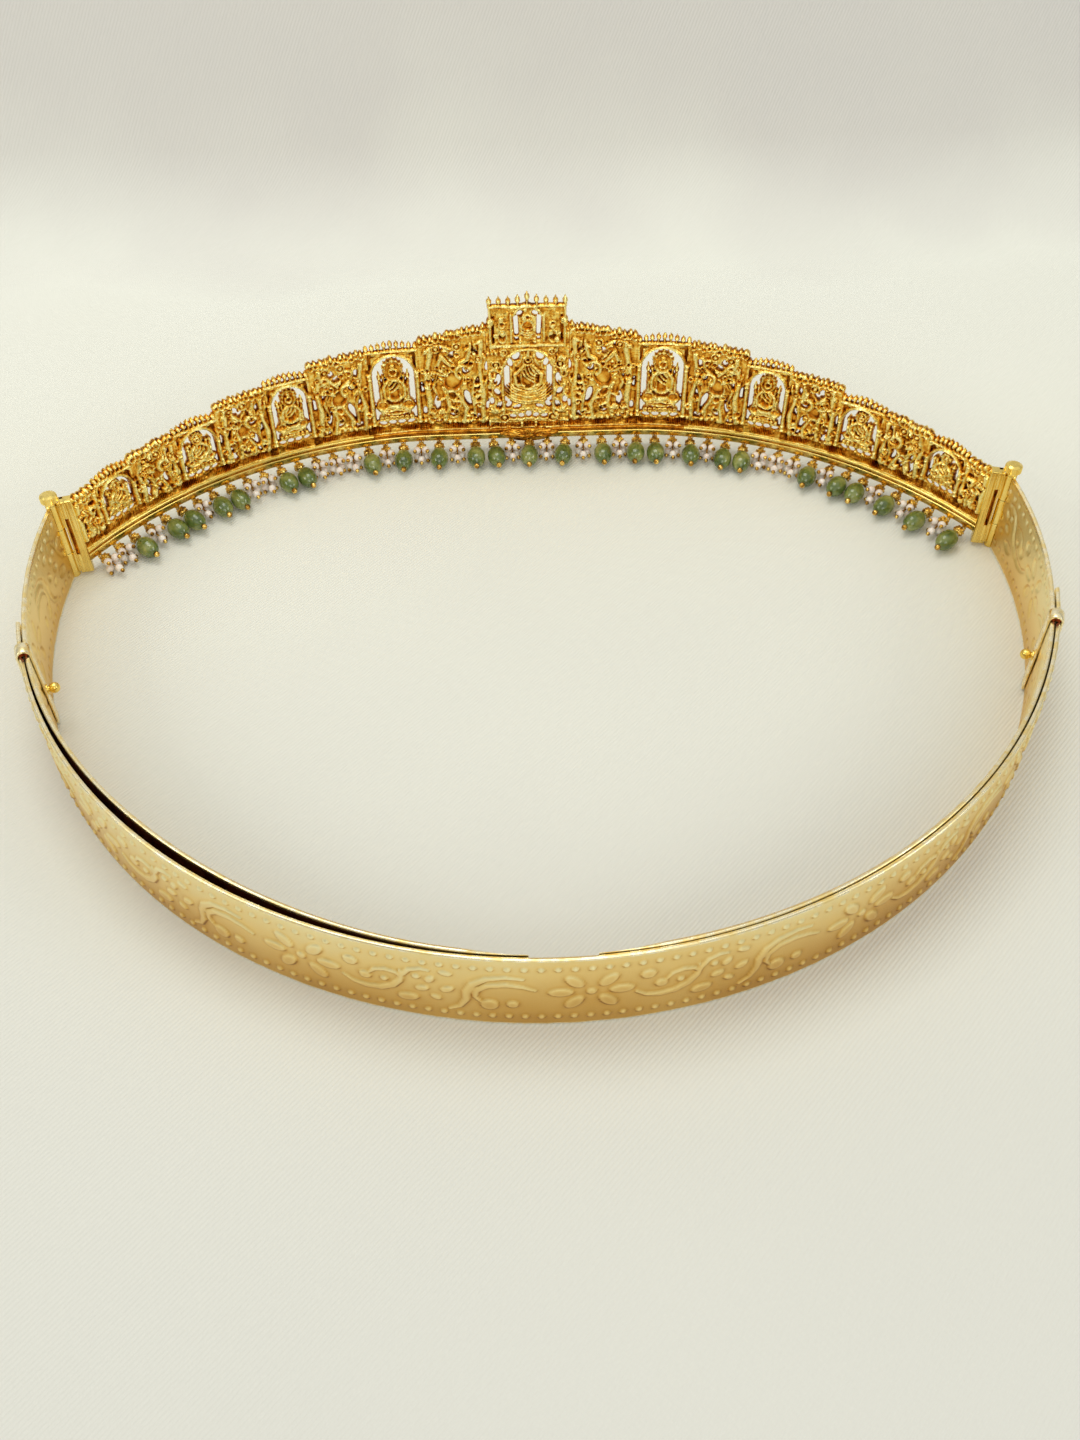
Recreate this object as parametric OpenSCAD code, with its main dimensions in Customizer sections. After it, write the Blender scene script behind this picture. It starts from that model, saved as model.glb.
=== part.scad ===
// Oddiyanam, a rigid waist belt of gold: a pierced front panel, two side strips
// hinged to it, and a back strip that slides over them in two keepers.
// It stands on the lower edges of its strips, as it does on a table.
// +X is the wearer's left to right, +Y the front, and the origin lies on the
// table under the middle of the belt's bounding box.

/* [Ring] */
// Outer radius of the back strip
band_r = 134.5; // [125:0.5:150]
// Height of the strips
band_h = 25; // [22:0.5:28]
// Thickness of each strip
band_t = 1; // [0.8:0.05:1.2]
// Height of the embossed relief above the strip
emboss_h = 0.35; // [0.2:0.05:0.4]
// Clearance between the back strip and the side strips
strip_gap = 0.35; // [0.25:0.05:0.5]
// Angle from the middle of the back to each end of the back strip
back_end_a = 76.5; // [74.5:0.5:80]
// Angle from the middle of the back to each keeper
keeper_a = 71.5; // [66:0.5:72]
// Angle from the middle of the back to each hinge axis
hinge_a = 96.5; // [94:0.5:98]
// Angle from the middle of the back to the hidden end of each side strip
strip_end_a = 3; // [2:0.5:20]
// How far the left side strip springs off the back strip halfway along
spring_left = 1.5; // [0:0.1:2.5]
// How far the right side strip springs off the back strip halfway along
spring_right = 0.4; // [0:0.1:2.5]

/* [Front panel] */
// Half the length of the panel's straight middle
flat_half = 27.3; // [24:0.1:30]
// Length along the panel from its middle to each end plate
panel_half = 145; // [140:0.5:150]
// Length from an end plate to its hinge axis
end_len = 4.64; // [4.4:0.02:6]
// Angle between the hinge box and the line across the belt
box_a = 14; // [0:1:40]
// Height of the rail's lower edge above the table
rail_z = 4.2; // [3.9:0.1:5]
// Height of the rail
rail_h = 3.6; // [3:0.1:4.2]
// Thickness of the rail
rail_t = 2.4; // [2:0.1:2.6]
// Thickness of the pierced sheet
sheet_t = 1.4; // [1.2:0.1:1.6]
// Thickness through the raised work
raised_t = 2.4; // [2:0.1:2.8]
// Thickness through the figures
figure_t = 3.4; // [3:0.1:3.8]
// Height of the centre tower above the rail's lower edge
tower_h = 45.5; // [42:0.5:48]
// Half the width of the centre tower
tower_w = 12; // [11:0.1:12.5]

/* [Hinges and screws] */
// Radius of the hinge barrel
barrel_r = 1.6; // [1.5:0.05:2]
// Radius of the hinge pin
pin_r = 0.8; // [0.7:0.05:0.9]
// Running clearance of a pin or screw in its hole
run_gap = 0.06; // [0.05:0.01:0.08]
// Radius of the hinge pin's milled head
head_r = 2.35; // [2:0.05:2.6]
// Height of the hinge pin's milled head
head_h = 2.3; // [2:0.1:3.2]
// Width of the box between the end plate and the barrel
box_t = 3; // [2.8:0.1:3.4]
// Length of a keeper along the strip
keeper_l = 3.6; // [3:0.1:4.5]
// Thickness of a keeper's wall
keeper_t = 0.6; // [0.5:0.05:0.8]
// Length of the collar round the set screw, inside the keeper
collar_l = 0.4; // [0.3:0.1:1.2]
// Radius of the set screw's ball head
ball_r = 1.4; // [1.2:0.1:2]
// Radius of the set screw's shank
screw_r = 0.8; // [0.7:0.05:0.9]

/* [Fringe] */
// Distance from the last drop to the end of the panel
fringe_end = 4; // [3.8:0.1:4.4]
// Diameter of a green bead
jade_d = 5.6; // [5.2:0.1:5.7]
// Length of a green bead
jade_l = 7.8; // [7:0.1:8]
// Diameter of a pearl, as a share of the distance between drops
pearl_share = 0.4078; // [0.37:0.0001:0.42]
// Radius of the granulated ball at the head of each drop
grain_r = 1.5; // [1.3:0.05:1.6]
// Radius of the fringe's wire
wire_r = 0.25; // [0.2:0.01:0.28]
// Clearance of the wire in a bead's hole
bead_gap = 0.12; // [0.1:0.01:0.2]

/* [Hidden] */
$fn = 48;
eps = 0.02;

// Plan of the strips, as radii about the ring's centre
back_in = band_r - band_t;
side_out = back_in - strip_gap;
side_in = side_out - band_t;
keeper_mid = (band_r + side_in) / 2;
hinge_r = side_out - band_t / 2;
hinge_x = hinge_r * sin(hinge_a);
hinge_y = -hinge_r * cos(hinge_a);

// Plan of the panel: straight in its middle, with an arc to each side. The arc's
// radius and the panel's place bring the hinge boxes at its ends to the hinges.
function arc_a(r) = (panel_half - flat_half) / r * 180 / PI;
function fit_radius(low, high, tries) =
    tries == 0 ? (low + high) / 2 :
    let (mid = (low + high) / 2)
    flat_half + mid * sin(arc_a(mid)) < hinge_x - end_len * cos(box_a) ?
        fit_radius(mid, high, tries - 1) : fit_radius(low, mid, tries - 1);
panel_r = fit_radius(panel_half / 2, panel_half * 3, 30);
front_y = hinge_y + end_len * sin(box_a) + panel_r * (1 - cos(arc_a(panel_r)));

// The ring's centre sits off the origin, so that the bounding box is centred
boss_lap = 0.1;
front_reach = front_y + rail_t / 2 + sheet_t - boss_lap;
back_reach = band_r + emboss_h;
ring_y = (back_reach - front_reach) / 2;

// Knuckles, from the table up
knuckle_gap = 0.1;
knuckle_h = (band_h - 2 * knuckle_gap) / 3;
leaf_gap = 0.35;
// The end plate stands a little higher than the strips, and the pin's head
// clears its top
plate_z = 1;
head_gap = 0.15;
// Leaf between a strip and its knuckle: its length, and its step at each end
leaf_l = barrel_r + leaf_gap + 1;
leaf_inset = 0.3;

// Front panel: the cast sections of a wing, from the tower outwards. Widths are
// shares of the wing's length and heights are shares of the tower's height.
// A niche has the top of its arch and the foot of its crown, and a bird section
// the heights of its sloping top at the inner and the outer side.
//           width, niche, first height, second height
SECTIONS = [[0.154, false, 0.868, 0.780],
            [0.120, true, 0.670, 0.714],
            [0.128, false, 0.725, 0.692],
            [0.105, true, 0.571, 0.607],
            [0.117, false, 0.615, 0.589],
            [0.105, true, 0.473, 0.501],
            [0.109, false, 0.519, 0.501],
            [0.098, true, 0.426, 0.455],
            [0.064, false, 0.475, 0.470]];
spikes = 7;
// Gaps in a bird section: place as shares of its half width and height, then
// half width and half height as shares of the thickness of the sheet
BIRD_GAPS = [[-0.66, 0.52, 0.54, 1.85],
             [0.66, 0.40, 0.57, 2.05],
             [0.00, 0.30, 0.79, 1.07],
             [-0.34, 0.80, 0.64, 0.71],
             [0.40, 0.74, 0.57, 0.79],
             [0.22, 0.55, 0.50, 0.71]];
// Clearance where a wing of the panel meets the centre piece
wing_gap = 0.1;
wing_start = tower_w + wing_gap;
wing_l = panel_half - wing_start;
function shares_before(i) = i == 0 ? 0 : shares_before(i - 1) + SECTIONS[i - 1][0];
// Neighbouring sections run into each other by this much, but the first one
// keeps clear of the centre piece
section_lap = 0.2;
function first_lap(i) = i == 0 ? section_lap / 2 : 0;
function section_w(i) = SECTIONS[i][0] * wing_l / 2 - first_lap(i);
function section_s(i) = wing_start + shares_before(i) * wing_l + section_w(i) + 2 * first_lap(i);
// Moulding over the rail, and the foot of the niches, above the rail
moulding_z = rail_h + 1.4;
moulding_h = 0.9;
niche_foot = rail_h + 5;

// Fringe: the drops that carry a green bead, each with its slot along the
// rail and the angle that it leans at
slots = 51;
drop_pitch = (panel_half - fringe_end) * 2 / (slots - 1);
pearl_d = pearl_share * drop_pitch;
JADES = [[2, -4], [4, 0], [5, 5], [7, -3], [8, 2], [11, 2], [12, 7], [16, 3],
         [18, -4], [20, 0], [22, 2], [23, 8], [25, -2], [27, -8], [29, 1],
         [31, -5], [32, 3], [34, 6], [36, 1], [37, 6], [41, 3], [43, -4],
         [44, 1], [46, -4], [48, -4], [50, 5]];
// A pearl spray's pins: the angle to the side, the angle up, and the length
// beyond the shortest pin as a share of a pearl's diameter
SPRAY = [[-26, -27, 0], [26, -27, 0], [-25, 19, 0], [25, 19, 0], [0, -6, 0.957]];
// Height of a drop's ball above the table, and its distance behind the sheet
drop_z = 3.05;
drop_reach = 2.7;
// Eyelet, the link through it, and how far the link hangs below and behind it
eyelet_r = 0.85;
eyelet_hole = 0.48;
eyelet_t = 0.6;
eyelet_z = rail_z - eyelet_r * 0.7;
link_r = 1.06;
link_drop = 1;
link_back = 0.36;
// Bare wire between a ball and its bead, and the balls at the pins' ends
jade_neck = 0.45;
pearl_neck = 0.65;
jade_at = grain_r + jade_neck + jade_l / 2;
pearl_at = grain_r + pearl_neck + pearl_d / 2;
tip_r = 0.85;
pearl_tip_r = 0.6;
tip_seat = 0.85;
pearl_tip_seat = 0.6;

function is_jade(slot) = len([for (j = JADES) if (j[0] == slot) 1]) > 0;
function slot_s(slot) = (slot - (slots - 1) / 2) * drop_pitch;

// Plan of the panel: the turn, the place and the heading at a length s along it
function turn(s) = max(0, abs(s) - flat_half) / panel_r * 180 / PI;
function panel_x(s) = sign(s) * (min(abs(s), flat_half) + panel_r * sin(turn(s)));
function panel_y(s) = front_y - panel_r * (1 - cos(turn(s)));
function heading(s) = -sign(s) * turn(s);

JADE_NODES = [for (i = [0:len(JADES) - 1]) str("jade_bead_", i < 9 ? "0" : "", i + 1)];

// Places

module in_ring() {
    translate([0, ring_y, 0]) children();
}

// At a length s along the panel: x runs along it, y points to the front
module on_panel(s) {
    translate([panel_x(s), panel_y(s), 0]) rotate([0, 0, heading(s)]) children();
}

// At an angle from the middle of the back: x runs along the strip, y points inwards
module on_ring(a) {
    rotate([0, 0, a]) translate([0, -keeper_mid, 0]) children();
}

// A flat shape stood up on the panel, its y turned to z, centred on the sheet
module upright(t) {
    rotate([90, 0, 0]) linear_extrude(t, center = true) children();
}

module oval(rx, ry, n = 12) {
    polygon([for (i = [0:n - 1]) [rx * cos(i * 360 / n), ry * sin(i * 360 / n)]]);
}

// Strips

// A ring sector between two angles from the middle of the back
module sector(r_in, r_out, a0, a1, z0, z1) {
    rotate([0, 0, a0 - 90]) rotate_extrude(angle = a1 - a0, $fn = 180)
        translate([r_in, z0]) square([r_out - r_in, z1 - z0]);
}

// The repeat of the embossing, drawn flat about the middle of one flower for a
// strip 25 high, and scaled to the strip
flower_a = 26.3;
flower_r = 5.3;
dot_pitch_a = flower_a / 18;
dot_r = 0.75;
border_z = band_h * 0.14;
// Plain strip left under each keeper
plain_a = 9;

module flower() {
    circle(1.1);
    for (i = [0:5]) rotate(i * 60) translate([flower_r - 0.4, 0]) oval(2.5, 1.6);
}

// A leaf-shaped stroke: part of a ring that narrows to both ends
module crescent(r, w, a0, a1, steps = 7) {
    span = a1 - a0;
    polygon(concat(
        [for (i = [0:steps]) let (a = a0 + span * i / steps, f = sin(180 * i / steps))
            (r + w * f) * [cos(a), sin(a)]],
        [for (i = [steps - 1:-1:1]) let (a = a0 + span * i / steps, f = sin(180 * i / steps))
            (r - w * f) * [cos(a), sin(a)]]));
}

module scroll_one() {
    translate([-1.5, 3.2]) crescent(6.4, 0.95, -118, 10);
    translate([2.6, 4.6]) crescent(2.6, 0.7, 10, 150);
    translate([6.8, 2.6]) crescent(3.4, 0.7, 70, 175);
    translate([-7.2, 4.4]) oval(1.6, 1.5);
    translate([-4.4, 0.4]) oval(1.3, 1.2);
    translate([5, -5.2]) oval(1.6, 1.3);
}

module scroll_two() {
    translate([3, -1.2]) crescent(5.6, 0.9, 45, 205);
    translate([6.4, -3.6]) crescent(7.6, 0.75, 62, 178);
    translate([-4.6, -5.2]) crescent(3.2, 0.8, -80, 40);
    translate([1.6, -4.6]) oval(1.9, 1.6);
    translate([5.6, -4.4]) oval(1.2, 1.1);
    translate([-6.4, 3.6]) oval(1.3, 0.8);
    translate([-8, -0.4]) oval(1.1, 0.8);
}

// A flat shape raised out of a strip's face at an angle round the ring
module raised(a, r) {
    intersection() {
        rotate([0, 0, a]) translate([0, -r + 2, band_h / 2]) rotate([90, 0, 0])
            linear_extrude(band_t + emboss_h + 3.65) children();
        rotate([0, 0, a - 102]) rotate_extrude(angle = 24, $fn = 180)
            translate([r - band_t / 2, 0]) square([band_t / 2 + emboss_h, band_h]);
    }
}

// Both rows of dots between two angles
module border_dots(a0, a1) {
    n = floor((a1 - a0) / dot_pitch_a);
    for (z = [border_z, band_h - border_z]) translate([0, z - band_h / 2])
        for (i = [0:n]) translate([band_r * sin(a0 + i * dot_pitch_a), 0]) circle(dot_r, $fn = 6);
}

module embossing(a0, a1, r) {
    for (k = [-4:3], part = [0:2]) {
        a = k * flower_a + part * flower_a / 3 + 2.5;
        if (a - 4 > a0 && a + 4 < a1)
            raised(a, r) scale(band_h / 25) {
                if (part == 0) flower();
                if (part == 1) scroll_one();
                if (part == 2) scroll_two();
            }
    }
    piece = dot_pitch_a * 8;
    for (a = [a0 + piece / 2 + 1:piece:a1 - piece / 2 - 0.5])
        raised(a, r) border_dots(-piece / 2 + dot_pitch_a / 2, piece / 2 - dot_pitch_a / 4);
}

// Keeper: an arched sleeve over both strips' top edges, with a leg down each side
keeper_span = (band_r - side_in) / 2 + 0.15;
screw_z = band_h * 0.45;

module keeper_profile() {
    intersection() {
        difference() {
            translate([0, band_h - 0.2]) circle(keeper_span + keeper_t);
            translate([0, band_h - 0.2]) circle(keeper_span);
        }
        translate([-5, band_h - 0.2]) square([10, 5]);
    }
    // inner leg
    translate([keeper_span, 0.6]) square([keeper_t, band_h - 0.8]);
    // outer leg, soldered to the back strip
    translate([-keeper_span - keeper_t, 2]) square([keeper_t + 0.3, band_h - 2.2]);
}

module keeper() {
    difference() {
        union() {
            rotate([90, 0, 90]) linear_extrude(keeper_l, center = true) keeper_profile();
            translate([0, keeper_span + keeper_t - eps, screw_z]) rotate([-90, 0, 0])
                cylinder(r = screw_r + 0.6, h = collar_l);
        }
        translate([0, keeper_span - 1, screw_z]) rotate([-90, 0, 0])
            cylinder(r = screw_r + run_gap, h = keeper_t + collar_l + 2);
    }
}

module back_strip() {
    color("goldenrod") in_ring() {
        sector(back_in, band_r, -back_end_a, back_end_a, 0, band_h);
        embossing(-back_end_a + plain_a, back_end_a - plain_a, band_r);
        for (side = [-1, 1]) on_ring(side * keeper_a) keeper();
    }
}

// Plan of a side strip at an angle from the middle of the back: it leaves the
// back strip between the keeper and its hidden end, most of all halfway along
function spring_out(a, spring) =
    let (way = (a - strip_end_a) / (keeper_a - strip_end_a))
    way > 0 && way < 1 ? spring * pow(sin(180 * way), 2) : 0;

module strip_plan(spring, end_a) {
    steps = 64;
    angles = [for (i = [0:steps]) strip_end_a + (end_a - strip_end_a) * i / steps];
    function edge(a, r) = (r - spring_out(a, spring)) * [sin(a), -cos(a)];
    polygon(concat([for (a = angles) edge(a, side_out)],
                   [for (i = [steps:-1:0]) edge(angles[i], side_in)]));
}

module side_strip(spring) {
    leaf_a = (barrel_r + leaf_gap) / hinge_r * 180 / PI;
    barrel_z = knuckle_h + knuckle_gap;
    difference() {
        union() {
            linear_extrude(band_h) strip_plan(spring, hinge_a - leaf_a);
            translate([hinge_x, hinge_y, barrel_z]) {
                cylinder(r = barrel_r, h = knuckle_h);
                rotate([0, 0, hinge_a]) translate([-leaf_l, -band_t * 0.4, leaf_inset])
                    cube([leaf_l, band_t * 0.8, knuckle_h - 2 * leaf_inset]);
            }
            embossing(back_end_a + 0.5, hinge_a - leaf_a - 0.5, side_out);
        }
        translate([hinge_x, hinge_y, -1]) cylinder(r = pin_r + run_gap, h = band_h + 2);
    }
}

module side_strip_right() {
    color("goldenrod") in_ring() side_strip(spring_right);
}

module side_strip_left() {
    color("goldenrod") in_ring() mirror([1, 0, 0]) side_strip(spring_left);
}

// Hinge pin with its milled head, screwed down through the three knuckles
module hinge_pin() {
    teeth = 20;
    foot = 0.4;
    milled_h = head_h * 0.8;
    head_z = plate_z + band_h + head_gap;
    translate([hinge_x, hinge_y, 0]) {
        translate([0, 0, foot]) cylinder(r = pin_r, h = band_h);
        translate([0, 0, band_h + head_gap]) cylinder(r = barrel_r * 0.95, h = plate_z + head_gap);
        translate([0, 0, head_z]) linear_extrude(milled_h)
            polygon([for (i = [0:2 * teeth - 1])
                head_r * (i % 2 == 0 ? 1 : 0.9) * [cos(i * 180 / teeth), sin(i * 180 / teeth)]]);
        translate([0, 0, head_z + milled_h - eps])
            cylinder(r1 = head_r * 0.88, r2 = head_r * 0.6, h = head_h - milled_h);
    }
}

module hinge_pin_right() {
    color("gold") in_ring() hinge_pin();
}

module hinge_pin_left() {
    color("gold") in_ring() mirror([1, 0, 0]) hinge_pin();
}

// Set screw: its tip bears on the side strip, its ball head stands inside the ring
module set_screw(side) {
    tip_y = keeper_span - 0.15 + 0.05;
    head_y = keeper_span + keeper_t + collar_l + 0.1 + ball_r * 0.92;
    on_ring(side * keeper_a) translate([0, 0, screw_z]) rotate([-90, 0, 0]) {
        translate([0, 0, tip_y]) cylinder(r = screw_r, h = head_y - tip_y);
        translate([0, 0, head_y]) sphere(ball_r);
    }
}

module set_screw_right() {
    color("gold") in_ring() set_screw(1);
}

module set_screw_left() {
    color("gold") in_ring() set_screw(-1);
}

// Front panel

module rail_profile(grow = 0) {
    translate([-rail_t / 2 - grow, -grow]) square([rail_t + 2 * grow, rail_h * 0.56 + 2 * grow]);
    translate([-rail_t * 0.4 - grow, -grow]) square([rail_t * 0.8 + 2 * grow, rail_h + 2 * grow]);
    translate([-rail_t * 0.46 - grow, rail_h * 0.7 - grow]) square([rail_t * 0.92 + 2 * grow, rail_h * 0.3 + 2 * grow]);
}

// The rail of a wing, from the centre piece to the end plate. Its straight length
// is a hair stouter than the curved one, so that no two of their faces lie together.
module wing_rail() {
    arc = turn(panel_half);
    translate([wing_start, front_y, rail_z]) rotate([90, 0, 90])
        linear_extrude(flat_half - wing_start + 0.3) rail_profile(0.04);
    translate([flat_half, front_y - panel_r, rail_z]) rotate([0, 0, 90 - arc])
        rotate_extrude(angle = arc, $fn = 180) translate([panel_r, 0]) rail_profile();
}

// Flat ring under the rail that each drop hangs in
module eyelets(s0, s1) {
    for (slot = [0:slots - 1]) if (slot_s(slot) > s0 && slot_s(slot) < s1)
        on_panel(slot_s(slot)) translate([0, 0, eyelet_z]) upright(eyelet_t)
            difference() {
                circle(eyelet_r, $fn = 24);
                circle(eyelet_hole, $fn = 24);
            }
}

// Arched opening of a niche
module arch(w, top, foot) {
    translate([-w, foot]) square([2 * w, top - w - foot]);
    translate([0, top - w]) circle(w);
}

// Seated figure in a niche: halo, shoulders, arms and crossed legs
module figure_outline(w, top) {
    h = top - niche_foot;
    translate([0, top - h * 0.2]) circle(h * 0.115);
    translate([0, niche_foot + h * 0.48]) oval(w * 0.42, h * 0.26);
    translate([0, niche_foot + h * 0.55]) oval(w * 1.04, h * 0.075);
    translate([0, niche_foot + h * 0.22]) oval(w * 0.92, h * 0.16);
    translate([-w * 0.5, niche_foot - 0.5]) square([w, h * 0.2 + 0.5]);
}

// The figure's body and legs, which stand out furthest, with its head
module figure(w, top) {
    h = top - niche_foot;
    upright(figure_t) {
        translate([0, niche_foot + h * 0.5]) oval(w * 0.34, h * 0.22);
        translate([0, niche_foot + h * 0.22]) oval(w * 0.82, h * 0.12);
    }
    translate([0, 0, top - h * 0.22]) sphere(min(w * 0.25, figure_t * 0.46), $fn = 24);
}

// Raised rim of the halo
module halo(top) {
    h = top - niche_foot;
    translate([0, top - h * 0.2]) difference() {
        circle(h * 0.112);
        circle(h * 0.075);
    }
}

// Row of ball-topped spikes, taller towards the middle
module crown(w, z, count) {
    ball = 0.8;
    stem = 0.7;
    rise = 1.2;
    for (i = [0:count - 1])
        let (x = (w - ball) * (2 * i / (count - 1) - 1), up = rise * cos(x / w * 90)) {
            translate([x, z + ball / 2 + up]) circle(ball, $fn = 8);
            translate([x - stem / 2, z - 0.5]) square([stem, 0.5 + ball / 2 + up]);
        }
}

column_w = 2.3;

module niche(w, top, crown_z) {
    arch_w = w - column_w;
    rim = 0.9;
    column = column_w * 0.52;
    band = 0.8;
    upright(sheet_t) {
        difference() {
            translate([-w - section_lap, rail_h - 0.3]) square([2 * (w + section_lap), crown_z - rail_h + 0.3]);
            arch(arch_w, top, niche_foot);
            for (x = [-1, 0, 1]) translate([x * arch_w * 0.66, rail_h + 3.6]) oval(0.95, 0.85, 8);
        }
        figure_outline(arch_w, top);
        crown(w, crown_z, spikes);
    }
    upright(raised_t) {
        for (x = [-1, 1]) translate([x * (w - column_w / 2) - column / 2, moulding_z + 0.6])
            square([column, crown_z - moulding_z - 1]);
        translate([-w, crown_z - band - 0.1]) square([2 * w, band]);
        translate([-w, moulding_z]) square([2 * w, moulding_h]);
        intersection() {
            difference() {
                translate([0, top - arch_w]) circle(arch_w + rim);
                translate([0, top - arch_w]) circle(arch_w);
            }
            translate([-w, top - arch_w]) square([2 * w, arch_w + rim - 0.2]);
        }
        halo(top);
    }
    figure(arch_w, top);
}

// Bird and leaf work between two niches, rounded along its sloping top
module bird(w, h_in, h_out) {
    lobes = max(3, round(w / sheet_t * 0.82));
    lobe_r = w / lobes * 1.08;
    mid = (h_in + h_out) / 2;
    slope = (h_in - h_out) / 2;
    body_h = mid - rail_h;
    narrow = w < 5;
    upright(sheet_t) {
        difference() {
            polygon([[-w - section_lap, rail_h - 0.3], [w + section_lap, rail_h - 0.3],
                     [w + section_lap, mid - slope - lobe_r], [-w - section_lap, mid + slope - lobe_r]]);
            for (g = BIRD_GAPS) if (!narrow || abs(g[0]) > 0.3)
                translate([g[0] * (w - 0.8), rail_h + g[1] * body_h * 0.92])
                    oval(g[2] * sheet_t, g[3] * sheet_t, 8);
        }
        for (i = [0:lobes - 1]) let (x = -w + (2 * i + 1) * w / lobes)
            translate([x, mid - slope * x / w - lobe_r]) circle(lobe_r, $fn = 24);
    }
    upright(raised_t - 0.2) translate([-w - section_lap, moulding_z + 0.15])
        square([2 * (w + section_lap), moulding_h - 0.3]);
    // breast, head and wing of the bird, and a leaf behind it
    upright(raised_t) {
        translate([w * 0.08, rail_h + body_h * 0.42]) rotate(18) oval(w * 0.28, w * 0.2);
        translate([-w * 0.18, rail_h + body_h * 0.62]) circle(w * 0.16, $fn = 24);
        translate([w * 0.62, rail_h + body_h * 0.68]) rotate(-30) oval(w * 0.14, w * 0.36);
        translate([-w * 0.8, rail_h + body_h * 0.26]) oval(w * 0.1, w * 0.22);
    }
}

// Centre tower: a tall niche with a small one over it
module tower() {
    w = tower_w;
    h = tower_h;
    arch_w = w * 0.62;
    arch_top = h * 0.68;
    shoulder = h * 0.875;
    small_w = w * 0.3;
    small_top = h * 0.97;
    small_foot = h * 0.758;
    spike_n = 9;
    spike_ball = 0.75;
    upright(sheet_t) {
        difference() {
            union() {
                translate([-w, rail_h - 0.3]) square([2 * w, shoulder - rail_h + 0.3]);
                translate([-w + 0.6, shoulder - 1]) square([2 * w - 1.2, h - shoulder + 1]);
                for (x = [-1, 1]) translate([x * (w - 1.3), shoulder + 0.6]) circle(1.25);
            }
            arch(arch_w, arch_top, niche_foot);
            arch(small_w, small_top, small_foot);
            for (x = [-1.5:1:1.5]) translate([x * w * 0.283, rail_h + 3.4]) oval(1.1, 1.2, 8);
            for (x = [-1, 1]) translate([x * w * 0.842, h * 0.484]) oval(0.7, 1.8, 8);
        }
        figure_outline(arch_w, arch_top);
        // flames beside the halo join the figure to its arch
        for (x = [-1, 1]) translate([x * w * 0.333, h * 0.582]) rotate(-x * 35) oval(0.8, 3.1);
        translate([0, h * 0.844]) oval(1.7, h * 0.1);
        translate([-small_w, small_foot - 0.5]) square([2 * small_w, 1.4]);
        for (i = [0:spike_n - 1])
            let (x = (2 * i / (spike_n - 1) - 1) * w * 0.917, up = max(0, 1.4 - abs(x) * 0.35)) {
                translate([x, h + 1.5 + up]) circle(spike_ball, $fn = 8);
                translate([x - spike_ball / 2, h - 0.5]) square([spike_ball, 2 + up]);
            }
    }
    upright(raised_t) {
        for (x = [-1, 1]) translate([x * w * 0.717 - 0.7, moulding_z + 0.6]) square([1.4, h * 0.7 - moulding_z]);
        for (x = [-1, 1]) translate([x * w * 0.925 - 0.6, moulding_z + 0.6]) square([1.2, h * 0.8 - moulding_z]);
        translate([-w * 0.967, h - 1]) square([w * 1.933, 0.9]);
        translate([-w * 0.975, h * 0.712]) square([w * 1.95, 1.2]);
        halo(arch_top);
    }
    figure(arch_w, arch_top);
    upright(figure_t) translate([0, h * 0.835]) oval(1.3, h * 0.07);
}

// Boss over the middle of the rail, which hangs lower on the front than inside
module boss() {
    boss_w = tower_w * 0.767;
    drop = 2.6;
    inner_t = 0.9;
    translate([0, rail_t / 2 + sheet_t / 2 - boss_lap, 0]) upright(sheet_t) intersection() {
        translate([0, rail_h]) oval(boss_w, rail_h + drop, 20);
        translate([-boss_w, -drop]) square([2 * boss_w, rail_h + drop + 1.2]);
    }
    translate([0, boss_lap - (rail_t + inner_t) / 2, 0]) upright(inner_t) intersection() {
        translate([0, rail_h]) oval(boss_w, rail_h + 0.8, 20);
        translate([-boss_w, 0.5]) square([2 * boss_w, rail_h + 0.9]);
    }
}

// End plate, the slotted box behind it, and the two knuckles that it carries
module panel_end() {
    plate_h = band_h;
    slot_z = plate_z + plate_h * 0.27;
    slot_h = plate_h * 0.5;
    box_end = end_len - barrel_r - leaf_gap;
    difference() {
        union() {
            translate([panel_x(panel_half), panel_y(panel_half), 0]) rotate([0, 0, -box_a]) {
                translate([-0.9, -box_t / 2, plate_z]) cube([box_end + 0.9, box_t, plate_h]);
                for (z = [0, 2 * (knuckle_h + knuckle_gap)]) let (z0 = max(z, plate_z) + leaf_inset)
                    translate([box_end - 0.6, -box_t * 0.3, z0])
                        cube([end_len - box_end + 0.6, box_t * 0.6, z + knuckle_h - leaf_inset - z0]);
            }
            for (z = [0, 2 * (knuckle_h + knuckle_gap)])
                translate([hinge_x, hinge_y, z]) cylinder(r = barrel_r, h = knuckle_h);
        }
        translate([panel_x(panel_half), panel_y(panel_half), 0]) rotate([0, 0, -box_a]) {
            translate([box_end * 0.52, -box_t / 2 - 1, slot_z]) cube([box_end * 0.3, box_t * 0.62 + 1, slot_h]);
            for (x = [0.1, box_end - 0.7]) translate([x, -box_t / 2 - 1, 0]) cube([0.3, 1.3, 30]);
        }
        translate([hinge_x, hinge_y, -1]) cylinder(r = pin_r + run_gap, h = band_h + 2);
    }
}

module centre_piece() {
    color("gold") in_ring() {
        translate([0, front_y, rail_z]) {
            rotate([90, 0, 90]) linear_extrude(2 * tower_w, center = true) rail_profile();
            tower();
            boss();
        }
        eyelets(-tower_w, tower_w);
    }
}

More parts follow.
